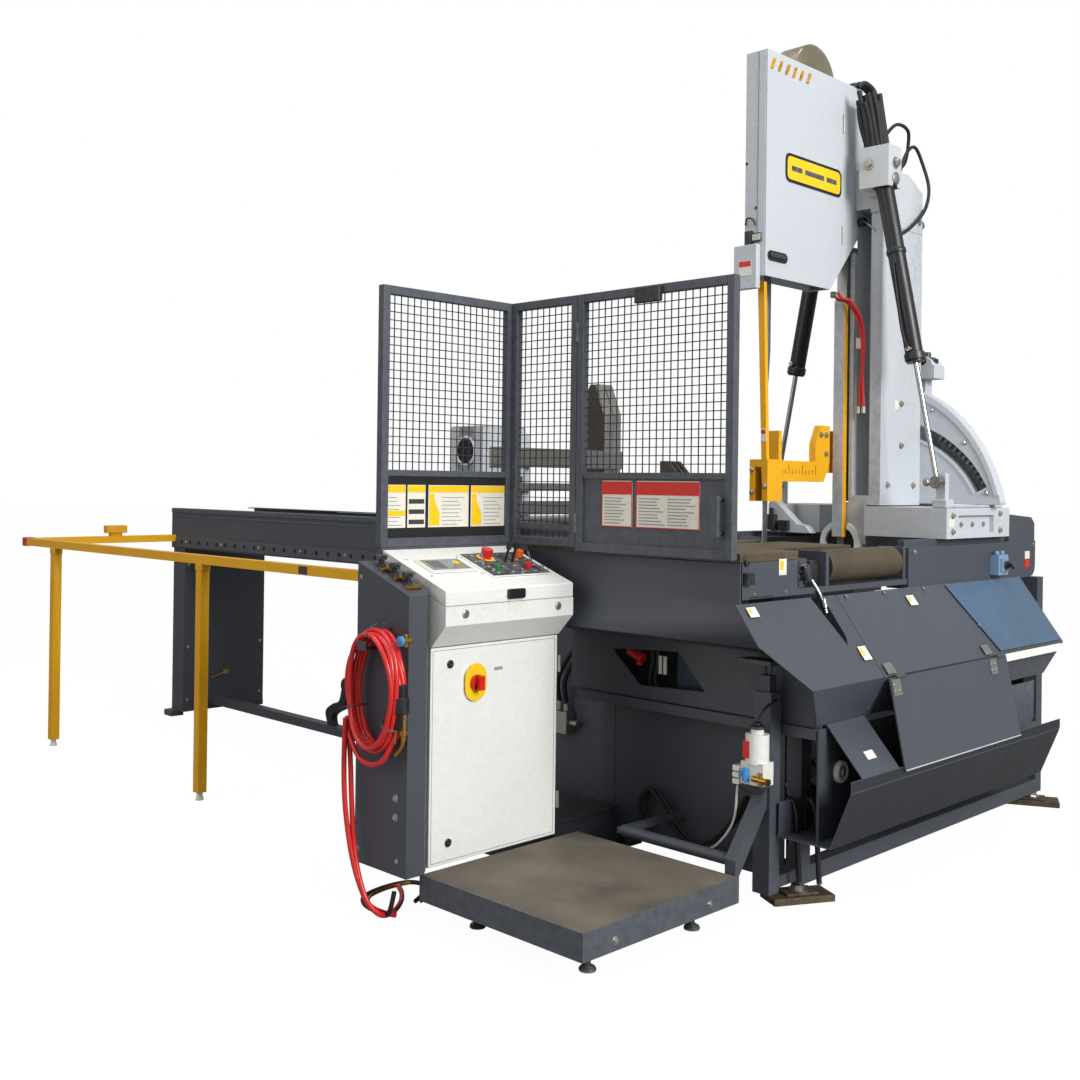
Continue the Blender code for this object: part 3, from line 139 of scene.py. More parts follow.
PAINT = dict(wear=(120, 125, 132), grain=420.0, bump=0.10)
M = {
    "sheet_grey": finish_material("powder_coat_slate", (68, 72, 80), 0.46, blotch=0.05, coat=0.05, **PAINT),
    "light_grey": finish_material("enamel_light_grey", (188, 193, 198), 0.42, blotch=0.02, grain=300.0,
                                  bump=0.05, wear=(166, 170, 174), coat=0.1),
    "cream": finish_material("enamel_cream", (226, 227, 222), 0.38, blotch=0.025, grain=320.0, bump=0.05,
                             wear=(150, 150, 145), coat=0.1),
    "safety_yellow": finish_material("enamel_yellow", (232, 172, 0), 0.42, blotch=0.07, grain=260.0,
                                     bump=0.08, wear=(90, 70, 30), coat=0.1, second=(220, 156, 0)),
    "steel": finish_material("steel_ground", (168, 168, 165), 0.32, 0.95, blotch=0.10, grain=190.0,
                             bump=0.08, stretch=(1, 18, 18), wear=(220, 220, 218)),
    "brown_steel": finish_material("steel_weathered", (104, 92, 74), 0.50, 0.55, blotch=0.22, grain=150.0,
                                   bump=0.25, stretch=(9, 1, 9), wear=(170, 160, 145), second=(70, 62, 52)),
    "dark_steel": finish_material("steel_scale", (72, 64, 56), 0.55, 0.60, blotch=0.25, grain=90.0,
                                  bump=0.35, wear=(150, 145, 138), second=(96, 84, 70)),
    "chrome": finish_material("chrome_rod", (176, 177, 180), 0.16, 1.0, blotch=0.03, grain=120.0, bump=0.02,
                              stretch=(1, 1, 30)),
    "zinc": finish_material("zinc_plate", (186, 184, 176), 0.30, 0.9, blotch=0.10, grain=240.0, bump=0.08),
    "black": finish_material("black_enamel", (22, 23, 26), 0.40, blotch=0.12, grain=300.0, bump=0.08,
                             wear=(110, 110, 110), coat=0.1),
    "rubber": finish_material("black_rubber", (26, 26, 27), 0.62, blotch=0.15, grain=500.0, bump=0.20),
    "hose_red": finish_material("hose_red", (212, 32, 28), 0.38, blotch=0.10, grain=200.0, bump=0.06,
                                coat=0.3),
    "red": plastic("plastic_red", (205, 24, 22), 0.30),
    "green": plastic("plastic_green", (30, 128, 60)),
    "orange": plastic("plastic_orange", (232, 96, 20)),
    "blue": plastic("plastic_blue", (60, 140, 205), 0.35, coat=0.2),
    "pale_blue": finish_material("film_pale_blue", (176, 200, 226), 0.28, blotch=0.05, grain=160.0,
                                 bump=0.05, coat=0.3),
    "block_blue": finish_material("casting_pale_blue", (120, 150, 180), 0.40, blotch=0.08, grain=220.0,
                                  bump=0.15),
    "white": plastic("plastic_white", (226, 226, 220), 0.35, blotch=0.04, coat=0.2),
    "sticker": label("label_stock", (226, 222, 208)),
    "sticker_red": label("label_red", (206, 42, 34)),
    "sticker_yellow": label("label_yellow", (240, 196, 24)),
    "ink": label("label_ink", (58, 58, 60), 0.40, 0.10),
    "ink_pale": label("label_ink_pale", (150, 150, 152), 0.40, 0.10),
    "brass": finish_material("brass", (198, 150, 70), 0.26, 0.95, blotch=0.12, grain=240.0, bump=0.08),
    # hub metal: the yellow tint is a painted reflection and the dark second colour is painted shade, both spread
    # in slow random blotches
    "hub_metal": finish_material("hub_metal_with_painted_reflection", (186, 178, 150), 0.22, 0.85, blotch=0.20, grain=120.0,
                                 bump=0.05, second=(92, 88, 70)),
    "deck": finish_material("deck_nonslip", (112, 103, 90), 0.82, blotch=0.22, grain=330.0, bump=0.9,
                            second=(62, 56, 48), spots=150.0),
    "wire": finish_material("wire_black", (44, 46, 50), 0.45, blotch=0.10, grain=300.0, bump=0.05),
    "glass": finish_material("screen_glass", (112, 122, 130), 0.10, blotch=0.12, grain=80.0, bump=0.01,
                             coat=0.6),
    # blue and slate colour of the plate over the cover: a painted reflection, mixed in slow blotches
    "reflection_blue": finish_material("painted_blue_reflection", (72, 98, 124), 0.42, blotch=0.10, grain=420.0,
                                  bump=0.10, second=(68, 84, 100)),
    # near-black colour: painted shade, laid where the machine shades the floor and the trough
    "shade_sheet": finish_material("painted_shadow_coat", (34, 36, 41), 0.50, blotch=0.10, grain=420.0,
                                  bump=0.10),
    "navy": finish_material("window_sheet_navy", (34, 48, 78), 0.45, blotch=0.20, grain=200.0, bump=0.05),
    "rust": finish_material("foot_plate_rust", (92, 78, 60), 0.60, 0.45, blotch=0.25, grain=90.0, bump=0.4,
                            wear=(170, 150, 120), second=(58, 50, 42)),
    # near-black colour: painted shade in holes, slots, recesses and the inside of the base
    "hollow_shade": finish_material("painted_hollow_shade", (14, 14, 15), 0.75, blotch=0.15, grain=200.0, bump=0.10),
}


# ------------------------------------------------------------------ shapes
AXES = {"X": (1, 2, 0), "Y": (0, 2, 1), "Z": (0, 1, 2)}


def mapped(u, v, w, axis):
    """Point at (u, v) in the plane across an axis and w along it."""
    point = [0.0, 0.0, 0.0]
    for value, i in zip((u, v, w), AXES[axis]):
        point[i] = value
    return Vector(point)


def add_prism(bm, outline, axis, start, end):
    """Outline drawn in the plane across an axis, carried from start to end along it."""
    rings = [[bm.verts.new(mapped(u, v, w, axis)) for u, v in outline] for w in (start, end)]
    faces = [bm.faces.new(rings[0]), bm.faces.new(rings[1])]
    for i in range(len(outline)):
        j = (i + 1) % len(outline)
        faces.append(bm.faces.new((rings[0][i], rings[0][j], rings[1][j], rings[1][i])))
    bmesh.ops.recalc_face_normals(bm, faces=faces)
    return rings[0] + rings[1]


def add_box(bm, x, y, z, turn=None):
    """Box between limits; turn is (axis, degrees) about its own centre."""
    verts = add_prism(bm, [(x[0], y[0]), (x[1], y[0]), (x[1], y[1]), (x[0], y[1])], "Z", *z)
    if turn:
        centre = Vector(((x[0] + x[1]) / 2, (y[0] + y[1]) / 2, (z[0] + z[1]) / 2))
        bmesh.ops.rotate(bm, cent=centre, matrix=Matrix.Rotation(math.radians(turn[1]), 3, turn[0]),
                         verts=verts)
    return verts


def add_lathe(bm, profile, origin, direction, segments=28):
    """Turned shape: profile is (distance along direction, radius) pairs from one end to the other."""
    origin = Vector(origin)
    axis = Vector(direction).normalized()
    side = axis.orthogonal().normalized()
    up = axis.cross(side)
    rings, faces = [], []
    for along, radius in profile:
        rings.append([bm.verts.new(origin + axis * along + (side * math.cos(a) + up * math.sin(a)) * radius)
                      for a in (2 * math.pi * i / segments for i in range(segments))])
    for a, b in zip(rings, rings[1:]):
        for i in range(segments):
            j = (i + 1) % segments
            faces.append(bm.faces.new((a[i], a[j], b[j], b[i])))
    faces += [bm.faces.new(rings[0]), bm.faces.new(rings[-1])]
    bmesh.ops.recalc_face_normals(bm, faces=faces)
    return [v for ring in rings for v in ring]


def add_rod(bm, start, end, radius, segments=16, round_off=0.15):
    """Round bar between two points with slightly rounded ends."""
    start, end = Vector(start), Vector(end)
    length = (end - start).length
    c = min(radius * round_off, length * 0.25)
    return add_lathe(bm, [(0, radius - c), (c, radius), (length - c, radius), (length, radius - c)],
                     start, end - start, segments)


def curve_points(points, steps=8, closed=False):
    """Smooth path through the given points."""
    pts = [Vector(p) for p in points]
    n = len(pts)
    out = []
    for i in range(n if closed else n - 1):
        a, b, c, d = (pts[(i + k) % n] if closed else pts[min(max(i + k, 0), n - 1)] for k in (-1, 0, 1, 2))
        for k in range(steps):
            t = k / steps
            out.append(0.5 * (2 * b + (c - a) * t + (2 * a - 5 * b + 4 * c - d) * t * t
                              + (3 * b - a - 3 * c + d) * t ** 3))
    return out if closed else out + [pts[-1]]


def add_tube(bm, points, radius, segments=10, closed=False):
    """Round tube along a path, with its cross-section carried along without twist."""
    pts = [Vector(p) for p in points]
    n = len(pts)
    side = None
    rings, faces = [], []
    for i, p in enumerate(pts):
        ahead = pts[(i + 1) % n] if closed or i < n - 1 else p
        back = pts[i - 1] if closed or i > 0 else p
        t = (ahead - back).normalized()
        side = (t.orthogonal() if side is None else side - t * side.dot(t)).normalized()
        up = t.cross(side)
        rings.append([bm.verts.new(p + (side * math.cos(a) + up * math.sin(a)) * radius)
                      for a in (2 * math.pi * k / segments for k in range(segments))])
    pairs = list(zip(rings, rings[1:])) + ([(rings[-1], rings[0])] if closed else [])
    for a, b in pairs:
        for k in range(segments):
            m = (k + 1) % segments
            faces.append(bm.faces.new((a[k], a[m], b[m], b[k])))
    if not closed:
        faces += [bm.faces.new(rings[0]), bm.faces.new(rings[-1])]
    bmesh.ops.recalc_face_normals(bm, faces=faces)


def add_bolt(bm, at, direction, radius=0.009, height=0.006):
    """Washer and hexagon head."""
    add_lathe(bm, [(0, radius * 1.45), (height * 0.25, radius * 1.45), (height * 0.3, radius * 1.3)], at,
              direction, 16)
    at = Vector(at) + Vector(direction).normalized() * height * 0.3
    add_lathe(bm, [(0, radius), (height * 0.8, radius), (height, radius * 0.85)], at, direction, 6)


def deferred(add):
    """Turns add(bm, ...) into a call that keeps its values until piece() hands it a mesh."""
    return lambda *values, **named: lambda bm: add(bm, *values, **named)


box, prism, lathe, rod, tube, bolt = map(
    deferred, (add_box, add_prism, add_lathe, add_rod, add_tube, add_bolt))


def hose(points, steps, radius, segments=10):
    """Round tube along the smooth path through the points."""
    return tube(curve_points(points, steps), radius, segments)


def add_all(bm, shapes):
    """Adds one deferred shape, or a list of them nested to any depth."""
    if callable(shapes):
        shapes(bm)
        return
    for shape in shapes:
        add_all(bm, shape)


def stadium(width, height, centre, steps=7):
    """Outline of a rounded slot or plate."""
    r = min(width, height) / 2
    out = []
    for k in range(4):
        cx = centre[0] + (width / 2 - r) * (1 if k in (0, 3) else -1)
        cy = centre[1] + (height / 2 - r) * (1 if k in (0, 1) else -1)
        for i in range(steps):
            a = math.pi / 2 * (k + i / (steps - 1))
            out.append((cx + r * math.cos(a), cy + r * math.sin(a)))
    clean = []
    for p in out:
        if not clean or (Vector(p) - Vector(clean[-1])).length > 1e-6:
            clean.append(p)
    if (Vector(clean[0]) - Vector(clean[-1])).length < 1e-6:
        clean.pop()
    return clean


def rounded(u, v, radius, steps=5):
    """Outline of a rectangle with rounded corners."""
    out = []
    for cx, cy, first in ((u[1] - radius, v[1] - radius, 0), (u[0] + radius, v[1] - radius, 90),
                          (u[0] + radius, v[0] + radius, 180), (u[1] - radius, v[0] + radius, 270)):
        for i in range(steps):
            a = math.radians(first + 90 * i / (steps - 1))
            out.append((cx + radius * math.cos(a), cy + radius * math.sin(a)))
    return out


def piece(name, body, look, shapes, bevel=0.0, slot=None, replaces=(), angle=35.0):
    """New piece from its shapes, shaded smooth up to the given angle, riding on a body."""
    bm = bmesh.new()
    add_all(bm, shapes)
    mesh = bpy.data.meshes.new(name)
    bm.to_mesh(mesh)
    bm.free()
    for p in mesh.polygons:
        p.use_smooth = True
    o = bpy.data.objects.new(name, mesh)
    bpy.context.scene.collection.objects.link(o)
    mesh.materials.append(M[look])
    if bevel:
        add_bevel(o, bevel, angle)
    else:
        mesh.set_sharp_from_angle(angle=math.radians(angle))
    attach(o, body)
    if replaces:
        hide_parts(*replaces)
    return o


def add_bevel(o, width, angle=35.0):
    """Softens the edges sharper than the angle."""
    b = o.modifiers.new("edges", "BEVEL")
    b.width = width
    b.segments = 2
    b.limit_method = "ANGLE"
    b.angle_limit = math.radians(angle)
    b.harden_normals = True


# ------------------------------------------------------------------ CAD nodes
# planes just outside the faces that small parts sit on
SIDE_FACE = 0.4803        # outfeed side plate and beam
COLUMN_FACE = 0.1803      # right face of the head column
HOUSING_FACE = 0.0503     # right face of the wheel housing
ARM_FACE = -0.0317        # right face of the guide arm
HINGE_LINE = -1.44        # hinge axis of the guard door, in y

BEVELS = {"carriage_casting": 0.006, "head_column": 0.005, "tilt_quadrant": 0.003, "tilt_clamp": 0.006,
          "work_table": 0.003, "side_beam_outfeed": 0.005, "side_beam_infeed": 0.005,
          "main_vise_jaw": 0.003, "shuttle_carriage": 0.004, "shuttle_jaw": 0.006, "guide_arm": 0.004,
          "emergency_stop": 0.008,
          "speed_knob": 0.004, "lubricator": 0.005, "cabinet_door": 0.003, "console_lid": 0.004,
          "console_body": 0.003, "barrier_rail": 0.004, "platform_frame": 0.004, "base_frame": 0.004,
          "drive_motor": 0.006, "hydraulic_unit": 0.006, "disconnect_knob": 0.003}
LOOKS = {"main_vise_fixed_jaw": "dark_steel", "feed_cylinder": "black", "roller_frame": "sheet_grey"}
SLOTS = {row["node"]: row["material_slot"] for row in frame["record"]["subparts"]}
THIN = ("saw_blade", "chip_auger", "upper_wheel", "lower_wheel")


def dress_nodes():
    """Gives each CAD node its finish, joined shading and softened edges."""
    for name, node in NODES.items():
        look = LOOKS.get(name) or SLOTS[name]
        node.data.materials.clear()
        node.data.materials.append(M[look])
        for extra in ("custom_normal", "sharp_face", "sharp_edge"):
            if extra in node.data.attributes:
                node.data.attributes.remove(node.data.attributes[extra])
        for p in node.data.polygons:
            p.use_smooth = True
        weld = node.modifiers.new("join", "WELD")
        weld.merge_threshold = 0.00005
        add_bevel(node, BEVELS.get(name, 0.0008 if name in THIN else 0.0014), 33.0)


# ------------------------------------------------------------------ guards
GUARD_TOP = 2.115
SHEET_TOP = 1.48
BAR = 0.03
WIRE_PITCH = 0.0295


def guard_panel(name, body, node, width, low, place, sheet=True):
    """Tube frame, lower sheet and welded mesh, drawn in (u, v, depth) and set in the room by place."""
    mesh_low = SHEET_TOP if sheet else low + BAR

    def put(verts):
        for v in verts:
            v.co = place(v.co)

    def frame_bars(bm):
        bars = [(0, BAR, low, GUARD_TOP), (width - BAR, width, low, GUARD_TOP),
                (BAR + 0.0002, width - BAR - 0.0002, GUARD_TOP - BAR, GUARD_TOP),
                (BAR + 0.0002, width - BAR - 0.0002, low, low + BAR)]
        for u0, u1, v0, v1 in bars:
            add_box(bm, (u0, u1), (0.0, BAR), (v0, v1))
        if sheet:
            add_box(bm, (BAR + 0.0002, width - BAR - 0.0002), (0.004, BAR - 0.002),
                    (SHEET_TOP - 0.022, SHEET_TOP))
            add_box(bm, (BAR - 0.004, width - BAR + 0.004), (0.012, 0.016), (low + 0.01, SHEET_TOP - 0.01))
        put(bm.verts)

    def wires(bm):
        gap_u = width - 2 * BAR
        gap_v = GUARD_TOP - BAR - mesh_low
        columns = max(2, round(gap_u / WIRE_PITCH))
        rows = max(2, round(gap_v / WIRE_PITCH))
        for i in range(1, columns):
            u = BAR + gap_u * i / columns
            add_box(bm, (u - 0.0016, u + 0.0016), (0.0138, 0.0168),
                    (mesh_low - 0.004, GUARD_TOP - BAR + 0.004))
        for i in range(1, rows):
            v = mesh_low + gap_v * i / rows
            add_box(bm, (BAR - 0.004, width - BAR + 0.004), (0.0170, 0.0200), (v - 0.0016, v + 0.0016))
        put(bm.verts)

    piece(name + "_frame", body, "sheet_grey", frame_bars, bevel=0.003, slot="sheet_grey", replaces=(node,))
    piece(name + "_mesh", body, "wire", wires, slot="sheet_grey")


def guards():
    """Wire guard round the operator's side: two fixed panels and the door, with wordless notices."""
    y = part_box("guard_door")[0].y + 0.035        # front plane, behind the handle
    x0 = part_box("guard_door")[0].x
    x1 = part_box("guard_door")[1].x
    guard_panel("guard_door", "guard_door", "guard_door", x1 - x0, 1.20,
                lambda p: Vector((x0 + p.x, y + p.y, p.z)))
    edge = -0.536
    left_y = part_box("guard_fixed")[0].y
    guard_panel("guard_left", "base", "guard_fixed", y + 0.01 - left_y, 1.212,
                lambda p: Vector((edge - p.y, left_y + p.x, p.z)))
    guard_panel("guard_middle", "base", "guard_fixed", x0 - 0.002 - edge + 0.001, 1.212,
                lambda p: Vector((edge - 0.001 + p.x, y + p.y, p.z)), sheet=False)

    piece("guard_foot_plate", "base", "sheet_grey",
        [box((edge - BAR, edge - 0.001), (left_y + 0.004, y), (0.9, 1.2118)),
            box((edge + 0.002, x0 - 0.004), (y + 0.008, y + 0.022), (1.27, 1.292))], bevel=0.002,
        slot="sheet_grey")

    piece("guard_door_handle", "guard_door", "sheet_grey",
        [box((0.424, 0.456), (y - 0.034, y - 0.022), (1.275, 1.405)),
            [rod((0.44, y - 0.024, z), (0.44, y + 0.013, z), 0.008, 10) for z in (1.285, 1.395)]],
        bevel=0.004, slot="sheet_grey")

    piece("guard_door_hinges", "guard_door", "sheet_grey",
        [rod((-0.197, HINGE_LINE, z - 0.035), (-0.197, HINGE_LINE, z + 0.035), 0.006, 12)
            for z in (1.3, 1.98)],
        slot="sheet_grey")
    piece("guard_interlock", "guard_door", "black",
        box((0.085, 0.195), (y - 0.022, y - 0.0005), (2.055, 2.108)), bevel=0.004)

    # two wordless notices on the door: red heading, pale rows
    for n, (u0, u1) in enumerate(((-0.077, 0.062), (0.080, 0.352))):
        v0, v1 = 1.292, 1.452
        piece("notice_%d_stock" % n, "guard_door", "sticker",
            box((u0, u1), (y + 0.0095, y + 0.0119), (v0, v1)), bevel=0.0006)
        piece("notice_%d_heading" % n, "guard_door", "sticker_red",
            box((u0 + 0.003, u1 - 0.003), (y + 0.0087, y + 0.0094), (v1 - 0.048, v1 - 0.003)))
        piece("notice_%d_border" % n, "guard_door", "sticker_red",
            [box(*limits) for limits in (((u0, u0 + 0.003), (y + 0.0087, y + 0.0094), (v0, v1)),
                ((u1 - 0.003, u1), (y + 0.0087, y + 0.0094), (v0, v1)),
                ((u0 + 0.003, u1 - 0.003), (y + 0.0087, y + 0.0094), (v0, v0 + 0.003)))])

        def rows(bm):
            columns = 1 if n == 0 else 2
            step = (u1 - u0 - 0.02) / columns
            for c in range(columns):
                for k in range(9):
                    a = u0 + 0.012 + c * step
                    b = a + step * DICE.uniform(0.6, 0.93)
                    z = v1 - 0.060 - k * 0.0108
                    add_box(bm, (a, b), (y + 0.0088, y + 0.0094), (z - 0.0022, z + 0.0012))

        piece("notice_%d_rows" % n, "guard_door", "ink_pale", rows)

    # four wordless charts in the dark recess of the side guard
    face = edge - 0.0118
    start, reach = left_y + 0.030, 0.560
    # near-black plate behind the charts: painted shade in the recess
    piece("chart_recess", "base", "hollow_shade", box((face - 0.0002, face + 0.0008),
            (left_y + BAR - 0.002, y - 0.008), (1.244, SHEET_TOP - 0.024)))
    z0, z1 = 1.278, 1.428
    spans = ((0.0, 0.150), (0.165, 0.310), (0.335, 0.675), (0.695, 1.0))
    for k, (u0, u1) in enumerate(spans):
        a, b = start + reach * u0, start + reach * u1
        piece("chart_%d_stock" % k, "base", "sticker",
            box((face + 0.0009, face + 0.0024), (a, b), (z0, z1)), bevel=0.0004)

        def yellow(bm):
            add_box(bm, (face + 0.0026, face + 0.0031), (a + 0.002, b - 0.002), (z1 - 0.026, z1 - 0.002))
            if k == 0:
                add_box(bm, (face + 0.0026, face + 0.0031), (a + 0.002, b - 0.002),
                        (z0 + 0.042, z0 + 0.060))
            if k >= 2:
                add_prism(bm, [(a + 0.004, z0 + 0.006), (a + 0.052, z0 + 0.006), (a + 0.052, z0 + 0.05),
                               (a + 0.030, z0 + 0.09), (a + 0.026, z1 - 0.030), (a + 0.004, z1 - 0.030)],
                          "X", face + 0.0026, face + 0.0031)

        piece("chart_%d_yellow" % k, "base", "sticker_yellow", yellow)

        def grid(bm):
            if k == 1:
                for r in range(3):
                    z = z0 + 0.012 + r * 0.036
                    add_box(bm, (face + 0.0026, face + 0.0032), (a + 0.006, b - 0.006), (z, z + 0.016))
            left = a + (0.006 if k < 2 else 0.062)
            for r in range(8):
                z = z0 + 0.008 + r * 0.0138
                if k != 1:
                    add_box(bm, (face + 0.0026, face + 0.0030),
                            (left, left + DICE.uniform(0.5, 0.95) * (b - left - 0.004)),
                            (z, z + 0.0026))

        piece("chart_%d_rows" % k, "base", "ink" if k == 1 else "ink_pale", grid)


# ------------------------------------------------------------------ console and end panel
LID_BACK = Vector((-0.535, 0, 1.205))
LID_FRONT = Vector((-0.199, 0, 1.085))
LID_NORMAL = Vector((LID_BACK.z - LID_FRONT.z, 0, LID_FRONT.x - LID_BACK.x)).normalized()


def lid(along, y, height=0.0):
    """Point over the sloping console top."""
    p = LID_BACK.lerp(LID_FRONT, along) + LID_NORMAL * height
    return Vector((p.x, y, p.z))


def add_lid_plate(bm, along, y, low, high):
    """Flat plate on the sloping console top."""
    corners = [lid(along[0], 0, low), lid(along[1], 0, low), lid(along[1], 0, high), lid(along[0], 0, high)]
    add_prism(bm, [(c.x, c.z) for c in corners], "Y", *y)


lid_plate = deferred(add_lid_plate)


def console():
    """Sloped control top, cabinet door fittings and the main switch's plate."""
    def on_lid(name, look, build, **more):
        piece(name, "console_lid", look, build, **more)

    on_lid("console_screen_frame", "cream", lid_plate((0.315, 0.605), (-1.985, -1.795), 0.0061, 0.0085),
        bevel=0.001)
    on_lid("console_screen", "glass", lid_plate((0.34, 0.575), (-1.975, -1.805), 0.0086, 0.0096))
    on_lid("console_screen_spot", "sticker_yellow",
        rod(lid(0.43, -1.835, 0.0097), lid(0.43, -1.835, 0.0104), 0.014, 20))
    on_lid("console_screen_keys", "ink", [lid_plate((0.37, 0.54), (y, y + 0.006), 0.0097, 0.0102)
            for y in (-1.955, -1.94, -1.925, -1.91)])
    on_lid("console_black_panel", "black", lid_plate((0.22, 0.76), (-1.757, -1.478), 0.0061, 0.00655),
        slot="black")

    def marks(bm):
        for along in (0.27, 0.41, 0.55, 0.70):
            for y in (-1.735, -1.715, -1.645, -1.59, -1.535, -1.495):
                half = DICE.uniform(0.003, 0.008)
                add_lid_plate(bm, (along - 0.006, along + 0.006), (y - half, y + half), 0.0066, 0.0067)

    on_lid("console_marks", "white", marks)
    on_lid("estop_collar", "sticker_yellow", lathe([(0, 0.034), (0.0001, 0.034)],
            lid(0.33, -1.665, 0.0066), LID_NORMAL, 28))

    on_lid("console_toggles", "chrome", [[lathe([(0, 0.011), (0.004, 0.011), (0.005, 0.007),
            (0.014, 0.006), (0.016, 0.004)], lid(along, y, 0.0068), LID_NORMAL, 18)
            for along, y in ((0.52, -1.735), (0.68, -1.735), (0.5, -1.5), (0.68, -1.5), (0.72, -1.61))],
            rod(lid(0.52, -1.735, 0.02), lid(0.46, -1.735, 0.045), 0.004, 10),
            rod(lid(0.5, -1.5, 0.02), lid(0.44, -1.5, 0.042), 0.004, 10)], slot="chrome")
    on_lid("console_pull", "black", prism(rounded((-1.768, -1.69), (1.047, 1.08), 0.006), "X", -0.1989,
            -0.187), bevel=0.002, slot="black")

    on_lid("console_screws", "zinc", [lathe([(0, 0.005), (0.002, 0.004)], lid(along, y, 0.0003),
            LID_NORMAL, 10) for along in (0.26, 0.66) for y in (-2.005, -1.778, -1.458)])

    def locks(bm, spots, x):
        for y, z in spots:
            add_lathe(bm, [(0, 0.014), (0.003, 0.014), (0.004, 0.011), (0.0065, 0.010)], (x, y, z),
                      (1, 0, 0), 20)
            add_box(bm, (x + 0.0066, x + 0.0085), (y - 0.007, y + 0.007), (z - 0.0015, z + 0.0015))

    piece("console_locks", "base", "zinc", lambda bm: locks(bm, ((-1.955, 1.008), (-1.52, 1.008)), -0.1988))
    piece("cabinet_locks", "cabinet_door", "black",
          lambda bm: locks(bm, ((-1.955, 0.835), (-1.955, 0.243)), -0.2728), slot="black")

    piece("cabinet_hinges", "cabinet_door", "zinc",
        [rod((-0.268, -1.4385, z - 0.03), (-0.268, -1.4385, z + 0.03), 0.006, 12) for z in (0.3, 0.79)])
    door_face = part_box("disconnect_knob")[0].x - 0.0005
    piece("disconnect_plate", "cabinet_door", "sticker_yellow",
        prism(stadium(0.098, 0.128, (-1.845, 0.765)), "X", -0.2649, door_face + 0.0003), bevel=0.0008)
    piece("disconnect_label", "cabinet_door", "ink_pale",
        box((-0.2728, -0.2722), (-1.755, -1.715), (0.795, 0.806)))
    piece("cabinet_gasket_line", "cabinet_door", "ink_pale",
        [box((-0.2729, -0.2724), y, z) for y, z in (((-2.028, -1.459), (0.882, 0.884)),
            ((-2.028, -1.459), (0.184, 0.186)), ((-2.03, -2.028), (0.184, 0.884)),
            ((-1.459, -1.457), (0.184, 0.884)))])


